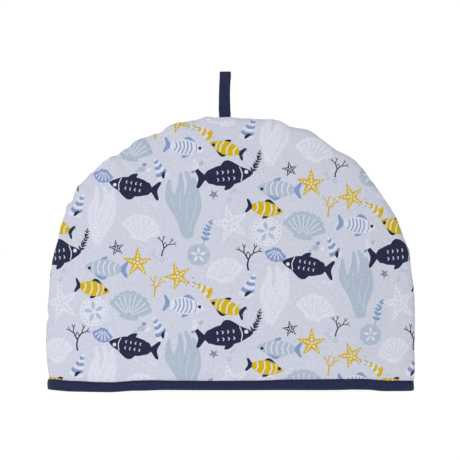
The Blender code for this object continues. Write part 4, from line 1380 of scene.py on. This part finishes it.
def cloth_shapes(shift_x, shift_y, mirror):
    """The print over a whole panel, its outlines divided finely enough to bend with the cloth."""
    out = []
    for ink, shape in repeat_shapes(-196.0, 196.0, -3.0, 276.0, shift_x, shift_y):
        line = np.array(shape, float)
        line[:, 0] *= mirror
        out.append((ink, divided(line, 1.5)))
    return out


# ================================================================ materials
def new_material(name):
    mat = bpy.data.materials.new(name)
    mat.use_nodes = True
    tree = mat.node_tree
    tree.nodes.clear()
    out = tree.nodes.new("ShaderNodeOutputMaterial")
    shader = tree.nodes.new("ShaderNodeBsdfPrincipled")
    tree.links.new(shader.outputs["BSDF"], out.inputs["Surface"])
    return mat, tree, shader


def attribute(tree, name):
    node = tree.nodes.new("ShaderNodeAttribute")
    node.attribute_type = "GEOMETRY"
    node.attribute_name = name
    return node


def cloth_noise(tree, place, scale, turn=0.0, detail=3.0, rough=0.55):
    """Noise on the cloth's own places, in waves per mm each way."""
    mapping = tree.nodes.new("ShaderNodeMapping")
    mapping.inputs["Rotation"].default_value = (0.0, 0.0, math.radians(turn))
    mapping.inputs["Scale"].default_value = scale
    tree.links.new(place, mapping.inputs["Vector"])
    noise = tree.nodes.new("ShaderNodeTexNoise")
    noise.inputs["Scale"].default_value = 1.0
    noise.inputs["Detail"].default_value = detail
    noise.inputs["Roughness"].default_value = rough
    tree.links.new(mapping.outputs["Vector"], noise.inputs["Vector"])
    return noise.outputs["Fac"]


def turned_first(tree, place, degrees):
    """The cloth's places turned, so that stretched noise runs on the bias."""
    node = tree.nodes.new("ShaderNodeVectorRotate")
    node.rotation_type = "Z_AXIS"
    node.inputs["Angle"].default_value = math.radians(degrees)
    tree.links.new(place, node.inputs["Vector"])
    return node.outputs["Vector"]


def math_node(tree, kind, a, b=None, c=None):
    node = tree.nodes.new("ShaderNodeMath")
    node.operation = kind
    for socket, value in zip(node.inputs, (a, b, c)):
        if value is None:
            continue
        if isinstance(value, (int, float)):
            socket.default_value = value
        else:
            tree.links.new(value, socket)
    return node.outputs["Value"]


def weighted(tree, parts, start=0.0):
    """start plus each (value - 0.5) times its weight."""
    total = start
    for value, weight in parts:
        total = math_node(tree, "MULTIPLY_ADD", math_node(tree, "SUBTRACT", value, 0.5), weight, total)
    return total


def scaled_colour(tree, colour, factor):
    node = tree.nodes.new("ShaderNodeVectorMath")
    node.operation = "SCALE"
    tree.links.new(colour, node.inputs[0])
    tree.links.new(factor, node.inputs["Scale"])
    return node.outputs["Vector"]


def bump(tree, shader, height, distance, strength):
    node = tree.nodes.new("ShaderNodeBump")
    node.inputs["Strength"].default_value = strength
    node.inputs["Distance"].default_value = distance
    tree.links.new(height, node.inputs["Height"])
    tree.links.new(node.outputs["Normal"], shader.inputs["Normal"])


def cloth_finish(shader, rough, sheen, specular):
    shader.inputs["Roughness"].default_value = rough
    shader.inputs["Specular IOR Level"].default_value = specular
    shader.inputs["Sheen Weight"].default_value = sheen
    shader.inputs["Sheen Roughness"].default_value = 0.5


def printed_cotton():
    """Plain-weave cotton: uneven threads both ways under flat inks that took a little unevenly."""
    mat, tree, shader = new_material("printed_cotton")
    place = attribute(tree, "cloth").outputs["Vector"]
    ink = attribute(tree, "ink").outputs["Color"]
    warp = cloth_noise(tree, place, (1.25, 0.10, 1.0))
    weft = cloth_noise(tree, place, (0.11, 1.15, 1.0))
    grain = cloth_noise(tree, place, (1.5, 1.5, 1.0), 0.0, 2.0)
    taken = cloth_noise(tree, place, (0.45, 0.40, 1.0), 20.0, 3.0)
    broad = cloth_noise(tree, place, (0.030, 0.034, 1.0), 30.0, 2.0)
    fine_warp = cloth_noise(tree, place, (2.9, 0.30, 1.0), 0.0, 1.0)
    fine_weft = cloth_noise(tree, place, (0.32, 2.7, 1.0), 0.0, 1.0)
    tone = weighted(tree, [(warp, 0.10), (weft, 0.10), (fine_warp, 0.12), (fine_weft, 0.12),
                           (grain, 0.26), (taken, 0.38), (broad, 0.045)], 1.0)
    tree.links.new(scaled_colour(tree, ink, tone), shader.inputs["Base Color"])
    height = weighted(tree, [(warp, 0.40), (weft, 0.40), (fine_warp, 0.60), (fine_weft, 0.60),
                             (grain, 0.50), (taken, 0.30)], 0.5)
    bump(tree, shader, height, 0.00011, 0.65)
    cloth_finish(shader, 0.92, 0.06, 0.22)
    return mat


def navy_cotton(name, tone_low, turn, wear):
    """Navy tape cut on the bias, or its thread: dark with paler fibres."""
    mat, tree, shader = new_material(name)
    place = turned_first(tree, attribute(tree, "cloth").outputs["Vector"], turn)
    ink = attribute(tree, "ink").outputs["Color"]
    warp = cloth_noise(tree, place, (1.45, 0.16, 1.0))
    weft = cloth_noise(tree, place, (0.16, 1.45, 1.0))
    grain = cloth_noise(tree, place, (2.1, 2.1, 1.0), 0.0, 2.0)
    slub = cloth_noise(tree, place, (0.55, 0.50, 1.0), 10.0, 3.0)
    broad = cloth_noise(tree, place, (0.07, 0.07, 1.0), 10.0, 2.0)
    fine_warp = cloth_noise(tree, place, (3.1, 0.34, 1.0), 0.0, 1.0)
    fine_weft = cloth_noise(tree, place, (0.34, 3.1, 1.0), 0.0, 1.0)
    tone = weighted(tree, [(warp, 0.50), (weft, 0.50), (fine_warp, 0.70), (fine_weft, 0.70),
                           (grain, 0.90), (slub, 1.30), (broad, wear)], tone_low)
    tree.links.new(scaled_colour(tree, ink, tone), shader.inputs["Base Color"])
    height = weighted(tree, [(warp, 0.4), (weft, 0.4), (fine_warp, 0.7), (fine_weft, 0.7), (grain, 0.5)], 0.5)
    bump(tree, shader, height, 0.00014, 0.8)
    cloth_finish(shader, 0.88, 0.05, 0.20)
    return mat


# ================================================================ the pieces
FRONT = Flat(-1.0, FRONT_HEM, FRONT_SWELLS, FRONT_CREASES, 1.0)
BACK = Flat(1.0, BACK_HEM, BACK_SWELLS, BACK_CREASES, 4.0)
NAVY = (0.0177, 0.0214, 0.0620)
THREAD = (0.0205, 0.0245, 0.0685)

front_cloth = build_panel("front_panel_cloth", FRONT, cloth_shapes(-230.0, -92.0, 1.0), 1.0)
back_cloth = build_panel("back_panel_cloth", BACK, cloth_shapes(-151.0, -52.0, -1.0), 2.0)

hem = Hem(FRONT, BACK)
# the tape's tones are painted shade, darker along its top fold
tape_rows, tape_painted_shade = hem.sections()
count = tape_rows.shape[1]
around = np.concatenate([[0.0], np.cumsum(np.linalg.norm(np.diff(tape_rows, axis=1), axis=2).mean(axis=0))])
places = np.stack([np.repeat(hem.s[:, None], count, axis=1), np.repeat(around[None, :], len(hem.s), axis=0),
                   np.zeros((len(hem.s), count))], 2)
tape = swept("hem_binding_tape", tape_rows, places, NAVY, tape_painted_shade, True, 2)


def hem_stitches():
    """One row of stitches along the tape's upper edge, through to its inside."""
    middles, heads, ups, outs = [], [], [], []
    pitch = 3.0
    count = int(hem.length / pitch)
    for inside in (False, True):
        height = hem.high - 1.55 if not inside else hem.high - 0.55 - 1.4
        if inside:
            line = hem.point(1.0, -0.84, height)
            face = -np.column_stack([hem.n_inn, np.zeros(len(hem.s))])
        else:
            line = hem.point(0.0, hem.bulge(height) + 0.06, height)
            face = np.column_stack([hem.n_out, np.zeros(len(hem.s))])
        closed = np.concatenate([line, line[:1]])
        s = np.concatenate([hem.s, [hem.length]])
        for k in range(count):
            at = (k + (0.5 if inside else 0.0)) * pitch + 0.12 * math.sin(2.3 * k)
            if not pitch < at < hem.length - pitch:
                continue
            a, b, c = (np.array([np.interp(at + d, s, closed[:, j]) for j in range(3)]) for d in (-1.0, 0.0, 1.0))
            if inside and abs(b[1]) < 1.4:
                continue
            head = (c - a) / np.linalg.norm(c - a)
            out = np.array([np.interp(at, hem.s, face[:, j]) for j in range(3)])
            out /= np.linalg.norm(out)
            up = np.cross(head, out)
            up /= np.linalg.norm(up)
            tilt = math.radians(3.0 * math.sin(1.7 * k) + 2.0)
            head2 = head * math.cos(tilt) + up * math.sin(tilt)
            up2 = up * math.cos(tilt) - head * math.sin(tilt)
            middles.append(b), heads.append(head2), ups.append(up2), outs.append(out)
    return threads("hem_stitches", middles, heads, ups, outs, 2.35, 0.26, 0.17, THREAD)


hem_thread = hem_stitches()

strap = Loop()
# the strap's tones are painted shade, darker along its edges and over its bend
loop_rows, loop_places, loop_painted_shade = strap.sections()
loop_tape = swept("hanging_loop_tape", loop_rows, loop_places, NAVY, loop_painted_shade, False, 3)


def loop_stitches():
    """The row of stitches that closes the tape's open edge, seen on both faces."""
    middles, heads, ups, outs = [], [], [], []
    half = strap.half()
    across = -half + 8.15 * (2 * half) / 9.95
    pitch = 2.9
    for side in (1.0, -1.0):
        line = strap.point(across, side * 0.45)
        for k in range(int(strap.s[-1] / pitch)):
            at = (k + (0.25 if side > 0 else 0.75)) * pitch
            if not pitch < at < strap.s[-1] - pitch:
                continue
            a, b, c = (np.array([np.interp(at + d, strap.s, line[:, j]) for j in range(3)]) for d in (-0.9, 0.0, 0.9))
            if side < 0 and b[2] < DOME_TOP + 9.0:
                continue
            head = (c - a) / np.linalg.norm(c - a)
            up = np.array([1.0, 0.0, 0.0])
            out = np.array([0.0, np.interp(at, strap.s, strap.oy), np.interp(at, strap.s, strap.oz)]) * side
            out /= np.linalg.norm(out)
            tilt = math.radians(2.5 * math.sin(1.9 * k))
            middles.append(b), heads.append(head * math.cos(tilt) + up * math.sin(tilt))
            ups.append(up * math.cos(tilt) - head * math.sin(tilt)), outs.append(out)
    return threads("loop_stitches", middles, heads, ups, outs, 2.3, 0.25, 0.17, THREAD)


loop_thread = loop_stitches()

cotton, bias_tape = printed_cotton(), navy_cotton("navy_tape", 1.0, 45.0, 0.22)
sewing_thread = navy_cotton("navy_thread", 1.05, 62.0, 0.10)
for piece, mat in ((front_cloth, cotton), (back_cloth, cotton), (tape, bias_tape), (hem_thread, sewing_thread),
                   (loop_tape, bias_tape), (loop_thread, sewing_thread)):
    piece.data.materials.append(mat)
    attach(piece, "root")
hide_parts("front_panel")
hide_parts("back_panel")
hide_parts("hem_binding")
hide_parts("hanging_loop")

# ================================================================ the stage
bpy.ops.mesh.primitive_plane_add(size=40.0, location=(0.0, 0.0, -0.0002))
floor = bpy.context.object
floor.name = "floor"
paper, tree, shader = new_material("pale_paper")
shader.inputs["Base Color"].default_value = (0.14, 0.14, 0.14, 1.0)
shader.inputs["Roughness"].default_value = 0.9
shader.inputs["Specular IOR Level"].default_value = 0.0
shader.inputs["Emission Color"].default_value = (1.0, 1.0, 1.0, 1.0)
shader.inputs["Emission Strength"].default_value = 0.94
floor.data.materials.append(paper)
KEY = 28.3

world = bpy.data.worlds.new("soft_studio")
bpy.context.scene.world = world
world.use_nodes = True
tree = world.node_tree
tree.nodes.clear()
out = tree.nodes.new("ShaderNodeOutputWorld")
back = tree.nodes.new("ShaderNodeBackground")
back.inputs["Color"].default_value = (1.0, 1.0, 1.0, 1.0)
place = tree.nodes.new("ShaderNodeTexCoord")
split = tree.nodes.new("ShaderNodeSeparateXYZ")
tree.links.new(place.outputs["Generated"], split.inputs["Vector"])


def ranged(value, low, high, at_low, at_high):
    node = tree.nodes.new("ShaderNodeMapRange")
    node.interpolation_type = "SMOOTHSTEP"
    for key, number in (("From Min", low), ("From Max", high), ("To Min", at_low), ("To Max", at_high)):
        node.inputs[key].default_value = number
    tree.links.new(value, node.inputs["Value"])
    return node.outputs["Result"]


# white paper all round at eye level, a dimmer room above it, dimmest on the right
level = math_node(tree, "ABSOLUTE", split.outputs["Z"])
paper_ring = ranged(level, 0.07, 0.17, 1.02, 0.0)
overhead = ranged(split.outputs["Z"], 0.10, 0.80, 0.74, 1.14)
aside = ranged(split.outputs["X"], -0.10, 0.85, 0.78, 0.12)
room = math_node(tree, "MULTIPLY", overhead, aside)
tree.links.new(math_node(tree, "MAXIMUM", paper_ring, room), back.inputs["Strength"])
tree.links.new(back.outputs["Background"], out.inputs["Surface"])


def soft_light(name, at, towards, size, power):
    data = bpy.data.lights.new(name, "AREA")
    data.shape, data.size, data.energy = "SQUARE", size, power
    ob = bpy.data.objects.new(name, data)
    ob.location = at
    ob.rotation_euler = (Vector(towards) - Vector(at)).to_track_quat("-Z", "Y").to_euler()
    bpy.context.scene.collection.objects.link(ob)


soft_light("key", (-0.06, -3.2, 2.05), (0.0, 0.0, 0.16), 1.6, KEY)

camera = bpy.data.cameras.new("camera")
camera.sensor_width, camera.lens = 36.0, 297.0
camera.clip_start, camera.clip_end = 0.1, 100.0
view = bpy.data.objects.new("camera", camera)
view.location = (-0.0005, -3.6, 0.1527)
view.rotation_euler = (math.radians(90.0), 0.0, 0.0)
bpy.context.scene.collection.objects.link(view)
bpy.context.scene.camera = view
bpy.context.scene.view_settings.view_transform = "Standard"

bpy.context.view_layer.update()
